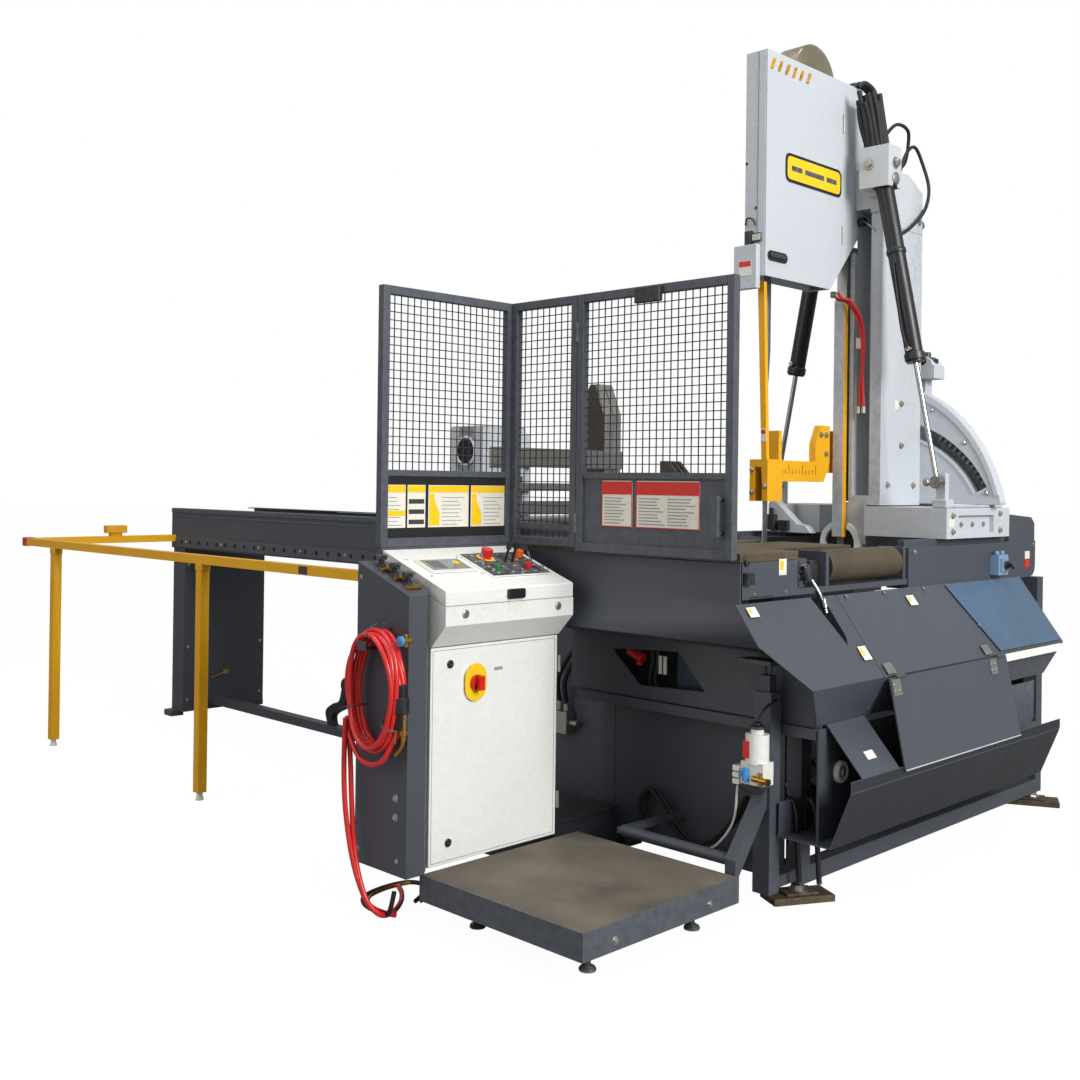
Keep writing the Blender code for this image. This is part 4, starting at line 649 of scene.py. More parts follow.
def end_panel():
    """Air hose in a coil on the console's end panel, with its gun, valves and floor cables."""
    front = -2.16
    centre = Vector((-0.352, front - 0.040, 0.765))

    def coil(bm):
        """Turns of hose lying on one another, each a little out of round."""
        for turn in range(7):
            wide = 0.120 + DICE.uniform(-0.014, 0.010)
            tall = 0.192 + DICE.uniform(-0.014, 0.010)
            depth = centre.y + 0.024 - 0.010 * turn * 0.92
            phase = DICE.uniform(0, 6.28)
            sway = DICE.uniform(0.003, 0.007)
            loop = [Vector((centre.x + (wide + sway * math.sin(3 * a + phase)) * math.cos(a),
                            depth + 0.004 * math.sin(2 * a + phase),
                            centre.z + (tall + sway * math.cos(2 * a + phase)) * math.sin(a)))
                    for a in (2 * math.pi * i / 56 for i in range(56))]
            add_tube(bm, loop, 0.0088, 12, closed=True)

    piece("air_hose_turns", "base", "hose_red", coil, slot="hose_red", replaces=("air_hose_coil",))
    tail = [(-0.235, -2.20, 0.655), (-0.30, -2.215, 0.545), (-0.40, -2.218, 0.535), (-0.475, -2.21, 0.60),
            (-0.498, -2.205, 0.66), (-0.487, -2.20, 0.54), (-0.476, -2.20, 0.40), (-0.462, -2.20, 0.26),
            (-0.430, -2.20, 0.15), (-0.395, -2.19, 0.07), (-0.375, -2.15, 0.024), (-0.40, -2.08, 0.012),
            (-0.46, -2.0, 0.011), (-0.53, -1.94, 0.011), (-0.60, -1.90, 0.011)]
    piece("air_hose_tail", "base", "hose_red", hose(tail, 7, 0.0088, 12), slot="hose_red")
    second = [(-0.485, -2.222, 0.66), (-0.490, -2.222, 0.50), (-0.478, -2.222, 0.36),
              (-0.452, -2.215, 0.22),
              (-0.425, -2.20, 0.12), (-0.41, -2.17, 0.05), (-0.40, -2.12, 0.018), (-0.37, -2.09, 0.011)]
    piece("air_hose_second", "base", "hose_red", hose(second, 7, 0.0088, 12), slot="hose_red")
    loop = [(-0.345, -2.12, 0.10), (-0.36, -2.13, 0.03), (-0.42, -2.12, 0.014), (-0.51, -2.11, 0.012),
            (-0.585, -2.06, 0.012), (-0.615, -1.96, 0.012), (-0.605, -1.86, 0.012), (-0.55, -1.83, 0.012),
            (-0.48, -1.88, 0.012), (-0.43, -1.96, 0.012)]
    piece("floor_cable_black", "base", "rubber", hose(loop, 8, 0.008, 10))
    piece("floor_cable_brown", "base", "brass", hose([
            (x + 0.012, y + 0.014, z * 0.9) for x, y, z in loop[2:]], 8, 0.006, 10))

    def ties(bm):
        for angle in (200, 330, 80):
            a = math.radians(angle)
            at = centre + Vector((0.120 * math.cos(a), -0.008, 0.192 * math.sin(a)))
            out = Vector((math.cos(a), 0, math.sin(a)))
            ring = [at + out * (0.030 * math.cos(t)) + Vector((0, 0.048 * math.sin(t), 0))
                    for t in (2 * math.pi * i / 20 for i in range(20))]
            add_tube(bm, ring, 0.0022, 6, closed=True)

    piece("hose_ties", "base", "black", ties)

    piece("air_gun", "base", "brass", [rod((-0.212, -2.196, 0.735), (-0.214, -2.196, 0.65), 0.01, 14),
            lathe([(0, 0.013), (0.014, 0.013), (0.016, 0.009), (0.03, 0.008)], (-0.214, -2.196, 0.655),
            (0, 0, -1), 12), hose([(-0.214, -2.196, 0.63), (-0.222, -2.197, 0.6), (-0.25, -2.198, 0.572)],
            6, 0.006, 10), hose([(-0.214, -2.2, 0.7), (-0.235, -2.207, 0.66), (-0.245, -2.205, 0.61)], 6,
            0.0045, 8)])

    piece("air_regulator", "base", "black", lathe([
            (0, 0.016), (0.006, 0.02), (0.05, 0.021), (0.055, 0.026), (0.1, 0.026), (0.105, 0.018),
            (0.14, 0.018), (0.145, 0.01)], (-0.226, -2.196, 0.655), (0, 0, 1), 20), slot="black")
    piece("air_valve_body", "base", "brass", [rod((-0.228, -2.16, 0.935), (-0.228, -2.192, 0.935), 0.01,
            14), rod((-0.228, -2.18, 0.915), (-0.228, -2.18, 0.955), 0.008, 12)])
    piece("air_valve_knob", "base", "blue", lathe([
            (0, 0.01), (0.004, 0.017), (0.012, 0.017), (0.015, 0.012)], (-0.228, -2.193, 0.935),
            (0, -1, 0), 16))

    piece("end_panel_bolts", "base", "zinc", [[bolt((-0.292, front - 0.0004, z), (0, -1, 0), 0.009, 0.007)
            for z in (0.421, 0.36)], [bolt((x, front - 0.0004, z), (0, -1, 0), 0.006, 0.004)
            for x, z in ((-0.49, 1.12), (-0.49, 0.22), (-0.285, 0.22))]])

    def top_valves(bm):
        for x in (-0.455, -0.385, -0.315):
            z = 1.172 - 0.359 * (x + 0.510)
            add_lathe(bm, [(0, 0.016), (0.018, 0.016), (0.020, 0.010), (0.030, 0.010), (0.032, 0.019),
                           (0.047, 0.019), (0.050, 0.013)], (x, -2.105, z - 0.006), (0, 0, 1), 18)
            add_rod(bm, (x, -2.105, z + 0.036), (x + 0.05, -2.12, z + 0.040), 0.005, 10)

    piece("air_bank_valves", "base", "black", top_valves, slot="black")
    piece("air_bank_fittings", "base", "brass", [rod((x, -2.135, 1.172 - 0.359 * (x + 0.51) + 0.006),
            (x, -2.075, 1.172 - 0.359 * (x + 0.51) + 0.006), 0.008, 12) for x in (-0.42, -0.35, -0.285)])


# ------------------------------------------------------------------ base
FEET = ((0.43, -0.95, -0.5), (0.43, 0.97, -1.1))
SIDE_TOP = Vector((0.485, 0, 1.058))
SIDE_RIDGE = Vector((0.68, 0, 0.79))
SIDE_NORMAL = Vector((SIDE_TOP.z - SIDE_RIDGE.z, 0, SIDE_RIDGE.x - SIDE_TOP.x)).normalized()
DOOR_TOP = Vector((0.692, 0, 0.786))
DOOR_FOOT = Vector((0.757, 0, 0.478))
DOOR_NORMAL = Vector((DOOR_TOP.z - DOOR_FOOT.z, 0, DOOR_FOOT.x - DOOR_TOP.x)).normalized()
TROUGH_NORMAL = Vector((0.455 - 0.262, 0, 0.665 - 0.742)).normalized()


def add_on_slope(bm, line, normal, along, y, low, high):
    """Flat plate over a sloping sheet that is given as a line from its upper to its lower edge."""
    a, b = line
    corners = [a.lerp(b, along[0]) + normal * low, a.lerp(b, along[1]) + normal * low,
               a.lerp(b, along[1]) + normal * high, a.lerp(b, along[0]) + normal * high]
    add_prism(bm, [(c.x, c.z) for c in corners], "Y", *y)


slope = deferred(add_on_slope)


def base_details():
    """Labels, hinges, hoses and small fittings on and under the side covers and the table."""
    side = (SIDE_TOP, SIDE_RIDGE)
    door = (DOOR_TOP, DOOR_FOOT)
    skin = 0.0052

    def on_side(bm, along, y, low=skin, high=skin + 0.0009):
        add_on_slope(bm, side, SIDE_NORMAL, along, y, low, high)

    labels = (((0.05, 0.16), (-1.375, -1.325)), ((0.11, 0.24), (-0.365, -0.310)),
              ((0.63, 0.79), (-0.882, -0.832)))
    for n, (along, y) in enumerate(labels):
        piece("side_label_%d" % n, "base", "sticker", lambda bm: on_side(bm, along, y))
        third = (y[1] - y[0]) * 0.4
        piece("side_label_%d_mark" % n, "base", "sticker_yellow",
              lambda bm: on_side(bm, (along[0] + 0.02, along[1] - 0.05), (y[0] + 0.006, y[0] + third),
                                 skin + 0.001, skin + 0.0015))
    piece("side_plate_label", "base", "sticker", box((SIDE_FACE, 0.4812), (-1.162, -1.118), (1.142, 1.196)))
    piece("side_plate_label_mark", "base", "sticker_yellow",
        box((0.4813, 0.4819), (-1.156, -1.136), (1.16, 1.19)))
    piece("tray_lip_label", "base", "sticker", slope((Vector((0.597, 0, 0.645)),
            Vector((0.742, 0, 0.478))), Vector((0.755, 0, 0.656)), (0.56, 0.7), (-0.955, -0.9), 0.0055,
            0.0065))
    piece("side_ridge_strip", "base", "white", box((0.6858, 0.6872), (0.115, 0.655), (0.757, 0.787),
            turn=("Y", -14)))

    def screws(bm):
        spots = [(0.04, y) for y in (-0.764, -0.50, -0.20, 0.10, 0.40)] + [(0.60, 0.05)]
        for along, y in spots:
            add_lathe(bm, [(0, 0.008), (0.003, 0.007)], side[0].lerp(side[1], along) + Vector((0, y, 0))
                      + SIDE_NORMAL * skin, SIDE_NORMAL, 12)
        for y in (-1.30, -1.12):
            add_lathe(bm, [(0, 0.006), (0.003, 0.005)], (0.4802, y, 1.085), (1, 0, 0), 12)

    piece("side_screws", "base", "zinc", screws)

    piece("chip_door_leaves", "chip_door", "zinc",
        [[slope(door, DOOR_NORMAL, (0.02, 0.2), (y - 0.028, y + 0.028), 0.0004, 0.003),
            [lathe([(0, 0.005), (0.003, 0.004)], door[0].lerp(door[1],
            along) + Vector((0, y + dy, 0)) + DOOR_NORMAL * 0.003, DOOR_NORMAL, 10)
            for dy in (-0.016, 0.016) for along in (0.08, 0.15)]] for y in (-0.765, -0.02)])

    def cover_leaves(bm):
        for y in (-0.765, -0.02):
            on_side(bm, (0.86, 0.985), (y - 0.028, y + 0.028), skin + 0.0002, skin + 0.003)

    piece("cover_hinge_leaves", "base", "zinc", cover_leaves)
    piece("chip_door_bright_edge", "chip_door", "light_grey",
        slope(door, DOOR_NORMAL, (0.985, 0.999), (-0.798, 0.103), 0.0003, 0.0016))

    # valve block and tags on the outfeed beam
    piece("beam_valve_block", "base", "block_blue",
        [box((SIDE_FACE, 0.52), (0.41, 0.5), (1.075, 1.16)),
            box((0.52, 0.528), (0.425, 0.485), (1.09, 1.145)),
            rod((0.5, 0.43, 1.16), (0.5, 0.43, 1.176), 0.011, 14),
            rod((0.5, 0.478, 1.16), (0.5, 0.478, 1.176), 0.011, 14)], bevel=0.003)
    piece("beam_valve_stem", "base", "black", lathe([
            (0, 0.018), (0.01, 0.018), (0.012, 0.01), (0.03, 0.01), (0.032, 0.016), (0.042, 0.014)],
            (0.5285, 0.455, 1.118), (1, 0, 0), 16))
    for n, (z, look) in enumerate(((1.148, "sticker"), (1.110, "sticker_red"))):
        piece("beam_tag_%d" % n, "base", look, box((SIDE_FACE, 0.4812), (0.755, 0.802),
                (z - 0.017, z + 0.017)))
    piece("beam_bolts", "base", "zinc", [bolt((SIDE_FACE, y, z), (1, 0, 0), 0.008, 0.006)
            for y, z in ((-0.24, 1.19), (0.84, 1.19))])

    # front left corner of the outfeed side plate
    piece("side_plate_knob", "base", "black", [rod((SIDE_FACE, -1.352, 1.19), (0.492, -1.352, 1.19), 0.01,
            14), box((SIDE_FACE, 0.5), (-1.366, -1.326), (1.12, 1.158))], bevel=0.002)
    # near-black strip along the slot: painted shade in the slot
    piece("side_plate_slot_edge", "base", "hollow_shade",
        box((SIDE_FACE, 0.4808), (-1.33, -1.195), (1.0735, 1.077)))

    # roller bay behind the side plate: dark mechanism and bright link
    piece("roller_bay_mechanism", "base", "black",
        [box((0.4, 0.452), (-1.035, -0.995), (1.095, 1.185)),
            box((0.415, 0.45), (-0.925, -0.875), (1.095, 1.18)),
            rod((0.425, -0.985, 1.125), (0.425, -0.935, 1.125), 0.02, 16)], bevel=0.003)

    piece("roller_bay_link", "base", "chrome", [hose([
            (0.468, -0.945, 1.115), (0.487, -0.93, 1.075), (0.497, -0.922, 1.045)], 6, 0.008, 12),
            lathe([(0, 0.013), (0.03, 0.013), (0.034, 0.009), (0.05, 0.009)], (0.4995, -0.921, 1.05),
            (0.25, 0.05, -1), 14)], slot="chrome")

    # painted blue reflection over the far half of the cover
    def reflection_plate(bm):
        outline = ((0.02, -0.02), (0.02, 0.668), (0.97, 0.668), (0.97, 0.09))
        rings = [[bm.verts.new(side[0].lerp(side[1], u) + Vector((0, y, 0)) + SIDE_NORMAL * h)
                  for u, y in outline]
                 for h in (skin + 0.0001, skin + 0.0006)]
        faces = [bm.faces.new(rings[0]), bm.faces.new(rings[1])]
        faces += [bm.faces.new((rings[0][i], rings[0][(i + 1) % 4], rings[1][(i + 1) % 4], rings[1][i]))
                  for i in range(4)]
        bmesh.ops.recalc_face_normals(bm, faces=faces)

    piece("cover_blue_reflection", "base", "reflection_blue", reflection_plate)
    piece("window_navy", "base", "navy", box((-0.05, 0.1), (-1.03, -1.026), (0.66, 0.86)))
    unit_low, unit_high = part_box("hydraulic_unit")
    piece("power_unit_valves", "base", "zinc", [box((-0.79, -0.7),
            (unit_low.y - 0.055, unit_low.y - 0.0004), (0.4, 0.49)),
            rod((-0.765, unit_low.y - 0.028, 0.49), (-0.765, unit_low.y - 0.028, 0.53), 0.012, 14),
            rod((-0.725, unit_low.y - 0.028, 0.49), (-0.725, unit_low.y - 0.028, 0.52), 0.012, 14),
            rod((-0.7, unit_low.y - 0.028, 0.445), (-0.66, unit_low.y - 0.028, 0.445), 0.014, 14)],
        bevel=0.003)
    piece("power_unit_hoses", "base", "rubber", [hose([
            (x, unit_low.y - 0.028, 0.53), (x + 0.01, unit_low.y - 0.05, 0.62),
            (x + 0.06, unit_low.y - 0.04, 0.72), (x + 0.12, unit_low.y - 0.01, 0.8)], 7, 0.01, 10)
            for x in (-0.765, -0.725)])
    piece("power_unit_lid", "base", "black", box((unit_low.x - 0.006, unit_high.x + 0.006),
            (unit_low.y - 0.006, unit_low.y - 0.0004), (0.655, 0.698)), bevel=0.002, slot="black")

    # dark box under the machine between the cabinet and the base: a painted shadow on the floor
    piece("painted_shadow_box", "base", "shade_sheet", [box((-1.0, -0.32), (-1.4, -1.06), (0.0, 0.19)),
            box((-1.01, -0.31), (-1.41, -1.05), (0.1903, 0.202))], bevel=0.003)
    # dark skin over the trough's outer face: painted shade
    skin_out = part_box("coolant_tray")[1].x - 0.742
    piece("trough_shade_skin", "base", "shade_sheet", [slope((Vector((0.665, 0, 0.262)),
            Vector((0.742, 0, 0.455))), TROUGH_NORMAL, (0.0, 0.99), (-1.128, 0.498), skin_out + 0.0003,
            skin_out + 0.0013), box((0.7423 + skin_out, 0.7433 + skin_out), (-1.128, 0.498),
            (0.457, 0.491))])
    # near-black sheet across the back of the base: painted shade inside the base
    piece("rear_cavity_shade", "base", "hollow_shade", box((-0.3995, 0.3995), (0.984, 0.989), (0.1205, 0.74)))
    piece("pivot_blocks", "carriage", "black", [box((-0.335, -0.3), (-0.048, -0.0205), (1.245, 1.315)),
            box((-0.285, -0.235), (-0.044, -0.0205), (1.245, 1.29)),
            rod((-0.318, -0.04, 1.315), (-0.318, -0.04, 1.345), 0.01, 12)], bevel=0.002)

    # white filler cap on the end of the trough
    piece("trough_cap", "base", "white", lathe([(0, 0.038), (0.012, 0.038), (0.016, 0.034),
            (0.017, 0.026), (0.01, 0.024)], (0.5993, -0.965, 0.477), (1, 0, 0), 28))
    piece("trough_cap_core", "base", "zinc", [rod((0.608, -0.965, 0.477), (0.615, -0.965, 0.477), 0.018,
            18), box((0.6152, 0.619), (-0.97, -0.96), (0.464, 0.49))])

    # what shows through the window under the table
    # near-black back behind the window: painted shade inside the base
    piece("window_back", "base", "hollow_shade", box((-0.4, 0.2), (-0.985, -0.975), (0.64, 0.86)))
    piece("window_red", "base", "red", [rod((-0.285, -1.03, 0.8), (-0.215, -1.03, 0.775), 0.02, 14),
            rod((-0.235, -1.03, 0.785), (-0.235, -1.03, 0.75), 0.012, 10)])
    piece("window_hoses", "base", "rubber", [hose([
            (x, -1.035, 0.86), (x + 0.012, -1.04, 0.78), (x - 0.008, -1.035, 0.7),
            (x + 0.01, -1.03, 0.65)], 6, 0.009, 10) for x in (-0.17, -0.145)])
    piece("window_fittings", "base", "zinc", [rod((x, -1.045, 0.8), (x, -1.045, 0.73), 0.01, 10)
            for x in (-0.118, -0.095)])

    def foot_shims(bm):
        for x, y, turn in FEET:
            verts = add_box(bm, (-0.0565, 0.0565), (-0.1165, 0.1165), (0.0004, 0.0238))
            verts += add_box(bm, (-0.040, 0.040), (-0.060, 0.060), (0.0241, 0.0330))
            bmesh.ops.rotate(bm, cent=(0, 0, 0), matrix=Matrix.Rotation(turn, 3, "Z"), verts=verts)
            bmesh.ops.translate(bm, vec=(x, y, 0), verts=verts)

    # hoses in front of the lower wall
    def floor_hoses(bm):
        for k, (dx, dy) in enumerate(((0, 0), (0.018, -0.016), (0.034, 0.0))):
            path = [(-0.21 + dx, -1.02 + dy, 0.14), (-0.235 + dx, -1.025 + dy, 0.22),
                    (-0.19 + dx, -1.025 + dy, 0.285),
                    (-0.13 + dx, -1.03 + dy, 0.25), (-0.06 + dx, -1.04 + dy, 0.175),
                    (0.03 + dx, -1.05 + dy, 0.135),
                    (0.14 + dx, -1.07 + dy, 0.16 + 0.01 * k), (0.26 + dx, -1.12 + dy, 0.26 + 0.01 * k),
                    (0.37, -1.17 + dy, 0.38)]
            add_tube(bm, curve_points(path, 7), 0.0085, 10)

    piece("floor_hoses", "base", "rubber", floor_hoses)
    piece("clear_line", "base", "white", hose([(0.05, -1.1, 0.13), (0.16, -1.13, 0.15),
            (0.25, -1.17, 0.2), (0.335, -1.2, 0.3), (0.36, -1.215, 0.42), (0.385, -1.235, 0.45)], 7,
            0.004, 8))
    piece("stand_tubes", "base", "black", [hose([(x, y, 0.09), (x - 0.004, y - 0.008, 0.22),
            (x - 0.008, y - 0.014, 0.33), (x - 0.03, y - 0.015, 0.372), (x - 0.055, y - 0.008, 0.33),
            (x - 0.056, y, 0.24)], 7, 0.0095, 12) for x, y in ((0.492, -1.035), (0.545, -0.995))],
        slot="black")
    piece("foot_bolts", "base", "zinc", [bolt((x, y, 0.0335), (0, 0, 1), 0.024, 0.018)
            for x, y, turn in FEET])
    piece("foot_shims", "base", "rust", foot_shims, bevel=0.002)


def lubricator():
    """Small oiler on the base: cap, blocks, fittings and thin lines."""
    x, y = 0.437, -1.212
    piece("lubricator_label", "base", "sticker_red",
        box((x - 0.03, x - 0.004), (y - 0.0415, y - 0.0385), (0.535, 0.592)), bevel=0.0008)
    piece("lubricator_cap", "base", "black", lathe([
            (0, 0.024), (0.01, 0.024), (0.014, 0.016), (0.022, 0.012), (0.026, 0.008)], (x, y, 0.6293),
            (0, 0, 1), 20))
    piece("lubricator_block", "base", "white", [box((x - 0.075, x - 0.048), (y - 0.036, y + 0.01),
            (z, z + 0.018)) for z in (0.44, 0.462, 0.484)], bevel=0.002)
    piece("lubricator_base", "base", "black", box((x - 0.047, x + 0.05), (y - 0.032, y + 0.03),
            (0.4455, 0.4457)))
    piece("lubricator_fitting_blue", "base", "blue",
        [rod((x - 0.022, y - 0.034, 0.455), (x - 0.022, y - 0.034, 0.5), 0.0125, 14),
            rod((x - 0.046, y - 0.036, 0.48), (x - 0.02, y - 0.036, 0.48), 0.008, 12)])
    piece("lubricator_brass", "base", "brass", [rod((x + 0.005, y - 0.034, 0.47),
            (x + 0.062, y - 0.03, 0.466), 0.01, 14), rod((x + 0.035, y - 0.033, 0.45),
            (x + 0.035, y - 0.033, 0.492), 0.008, 12), lathe([(0, 0.013), (0.008, 0.013)],
            (x + 0.06, y - 0.03, 0.466), (1, 0, 0), 6)])
    piece("lubricator_lines", "base", "black", [hose([
            (x + 0.06, y - 0.03, 0.462), (x + 0.055, y - 0.04, 0.437), (x + 0.01, y - 0.045, 0.425),
            (x - 0.04, y - 0.03, 0.43), (x - 0.065, y - 0.02, 0.44)], 6, 0.0035, 8),
            hose([(x, y, 0.655), (x + 0.01, y + 0.02, 0.69), (x + 0.02, y + 0.075, 0.72),
            (x + 0.01, y + 0.11, 0.7)], 6, 0.004, 8)])


def infeed():
    """Roller bed to the left: film on top, rack on the front, legs and rail bracket."""
    low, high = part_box("infeed_bed")
    front = low.y
    piece("bed_top_film", "base", "pale_blue", box((-3.1, -1.25), (high.y - 0.07, high.y - 0.004),
            (high.z - 0.0055, high.z - 0.0045)))

    piece("bed_rack", "base", "sheet_grey", box((-4.02, -0.7), (front - 0.01, front - 0.0004),
            (1.028, 1.088)), bevel=0.002, slot="sheet_grey")
    # near-black discs in the rack holes: painted shade inside the holes
    piece("bed_rack_holes", "base", "hollow_shade",
        [rod((-3.95 + 0.1 * k, front - 0.0108, 1.06), (-3.95 + 0.1 * k, front - 0.0101, 1.06), 0.012, 14)
            for k in range(33)])
    piece("bed_rack_bolts", "base", "zinc", [bolt((-3.9 + 0.4 * k, front - 0.0102, 1.06), (0, -1, 0),
            0.007, 0.005) for k in range(9)])
    piece("bed_lip", "base", "sheet_grey", [box((-4.085, -0.53), (front - 0.006, front - 0.0003),
            (high.z - 0.026, high.z - 0.002)), box((-4.085, -0.53), (front - 0.004, front - 0.0003),
            (high.z - 0.05, high.z - 0.044))], bevel=0.002)

    def flat(points):
        return [(u, v, 0.0) for u, v in points]

    def bracket(bm):
        outer = curve_points(flat([(-2.70, 0.1185), (-2.72, 0.19), (-2.66, 0.235), (-2.60, 0.26),
                                   (-2.575, 0.33), (-2.55, 0.36)]), 6)
        inner = curve_points(flat([(-2.50, 0.335), (-2.53, 0.29), (-2.56, 0.225), (-2.62, 0.195),
                                   (-2.66, 0.165), (-2.65, 0.1185)]), 6)
        add_prism(bm, [(p[0], p[1]) for p in outer + inner], "Y", -0.72, -0.68)
        add_rod(bm, (-2.525, -0.735, 0.35), (-2.525, -0.665, 0.35), 0.045, 20)

    piece("tie_rail_bracket", "base", "black", bracket, bevel=0.003, slot="black")
    piece("bed_post_yellow", "base", "safety_yellow", box((-1.53, -1.49), (-0.95, -0.91), (0.7, 1.018)),
        bevel=0.003, slot="safety_yellow")
    piece("bed_leg_bolts", "base", "zinc", [bolt((-3.9498, y, z), (1, 0, 0), 0.007, 0.005)
            for y in (-0.86, -0.36) for z in (0.1, 0.42, 0.92)])
    piece("bed_leg_tag", "base", "brass", [box((-3.9497, -3.942), (-0.62, -0.585), (0.235, 0.262)),
            rod((-3.945, -0.7, 0.22), (-3.945, -0.62, 0.245), 0.006, 8)])


def barrier():
    """Tube barrier in front of the bed."""
    low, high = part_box("barrier_rail")
    y = -1.795
    piece("barrier_cap", "base", "red", box((low.x - 0.003, low.x + 0.05), (y - 0.024, y + 0.03),
            (high.z - 0.044, high.z + 0.004)), bevel=0.004)
    piece("barrier_reflector", "base", "safety_yellow",
        [box((low.x + 0.004, low.x + 0.036), (-1.318, -1.246), (high.z, high.z + 0.02)),
            box((low.x - 0.004, low.x + 0.044), (-1.345, -1.22), (high.z + 0.018, high.z + 0.062))],
        bevel=0.003, slot="safety_yellow")
    piece("barrier_foot_tips", "base", "white", [lathe([
            (0, 0.017), (0.004, 0.019), (0.016, 0.014), (0.034, 0.0125)], (x, y, 0.0), (0, 0, 1), 16)
            for x in (-3.684, -2.155)])
    piece("barrier_label", "base", "ink", box((-1.37, -1.31), (y - 0.0215, y - 0.0205), (1.062, 1.094)))
    piece("barrier_joints", "base", "safety_yellow",
        [box((x - 0.028, x + 0.028), (y - 0.0235, y + 0.0235), (1.03, 1.0575)) for x in (-3.684, -2.155)],
        bevel=0.003, slot="safety_yellow")


def platform():
    """Operator's step: rim, bolts and feet."""
    low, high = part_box("platform_deck")
    piece("platform_rim", "base", "sheet_grey", [box((low.x, high.x), (low.y - 0.0045, low.y - 0.0003),
            (high.z - 0.083, high.z + 0.002)), box((high.x + 0.0003, high.x + 0.0045),
            (low.y - 0.0045, high.y), (high.z - 0.083, high.z + 0.002))], bevel=0.0012, slot="sheet_grey")
    piece("platform_bolts", "base", "zinc", [bolt((high.x + 0.0047, y, 0.118), (1, 0, 0), 0.009, 0.007)
            for y in (-1.95, -1.5)])
    piece("platform_tips", "base", "zinc", [[lathe([(0, 0.026), (0.006, 0.027), (0.016, 0.016)],
            (x, y, 0), (0, 0, 1), 18), bolt((x, y, 0.05), (0, 0, 1), 0.013, 0.01)]
            for x, y in ((-0.128, -1.948), (0.356, -1.948), (0.356, -1.45), (-0.128, -1.45))])


# ------------------------------------------------------------------ carriage and head
def carriage_details():
    """Bolts, lugs and clamp knob on the carriage."""
    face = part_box("carriage_casting")[1].x

    piece("casting_bolts", "carriage", "zinc", [[bolt((face + 0.0002, y, z), (1, 0, 0), 0.009, 0.008)
            for y, z in ((0.03, 1.33), (0.03, 1.265), (0.455, 1.265), (0.455, 1.335))],
            [bolt((0.4802, y, 1.292), (1, 0, 0), 0.008, 0.006) for y in (0.14, 0.24, 0.34)]])
    piece("casting_lugs", "carriage", "light_grey",
        [box((0.43, 0.495), (-0.012, 0.052), (1.3603, 1.395)),
            box((0.405, 0.485), (0.425, 0.52), (1.3603, 1.4)),
            box((0.455, 0.498), (0.0525, 0.424), (1.3603, 1.372))], bevel=0.006, slot="light_grey")
    piece("casting_lug_pins", "carriage", "zinc", [
            rod((0.445, 0.44, 1.4003), (0.445, 0.44, 1.415), 0.013, 14),
            rod((0.445, 0.495, 1.4003), (0.445, 0.495, 1.415), 0.013, 14)])
    piece("rod_foot_pin", "rod_right", "zinc", bolt((0.4285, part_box("rod_right")[0].y - 0.0003, 1.464),
            (0, -1, 0), 0.012, 0.008))
    piece("casting_label", "carriage", "sticker", box((0.5003, 0.501), (-0.005, 0.045), (1.285, 1.315)))
    piece("clamp_knob", "carriage", "black", [lathe([
            (0, 0.046), (0.012, 0.05), (0.028, 0.05), (0.036, 0.036)], (0.15, 0.47, 1.9853), (0, 0, 1),
            24), rod((0.15, 0.47, 2.021), (0.15, 0.47, 2.046), 0.018, 14)])
    piece("clamp_bolts", "carriage", "zinc", [bolt((0.115, 0.4603, z), (0, -1, 0), 0.012, 0.009)
            for z in (1.46, 1.7)])


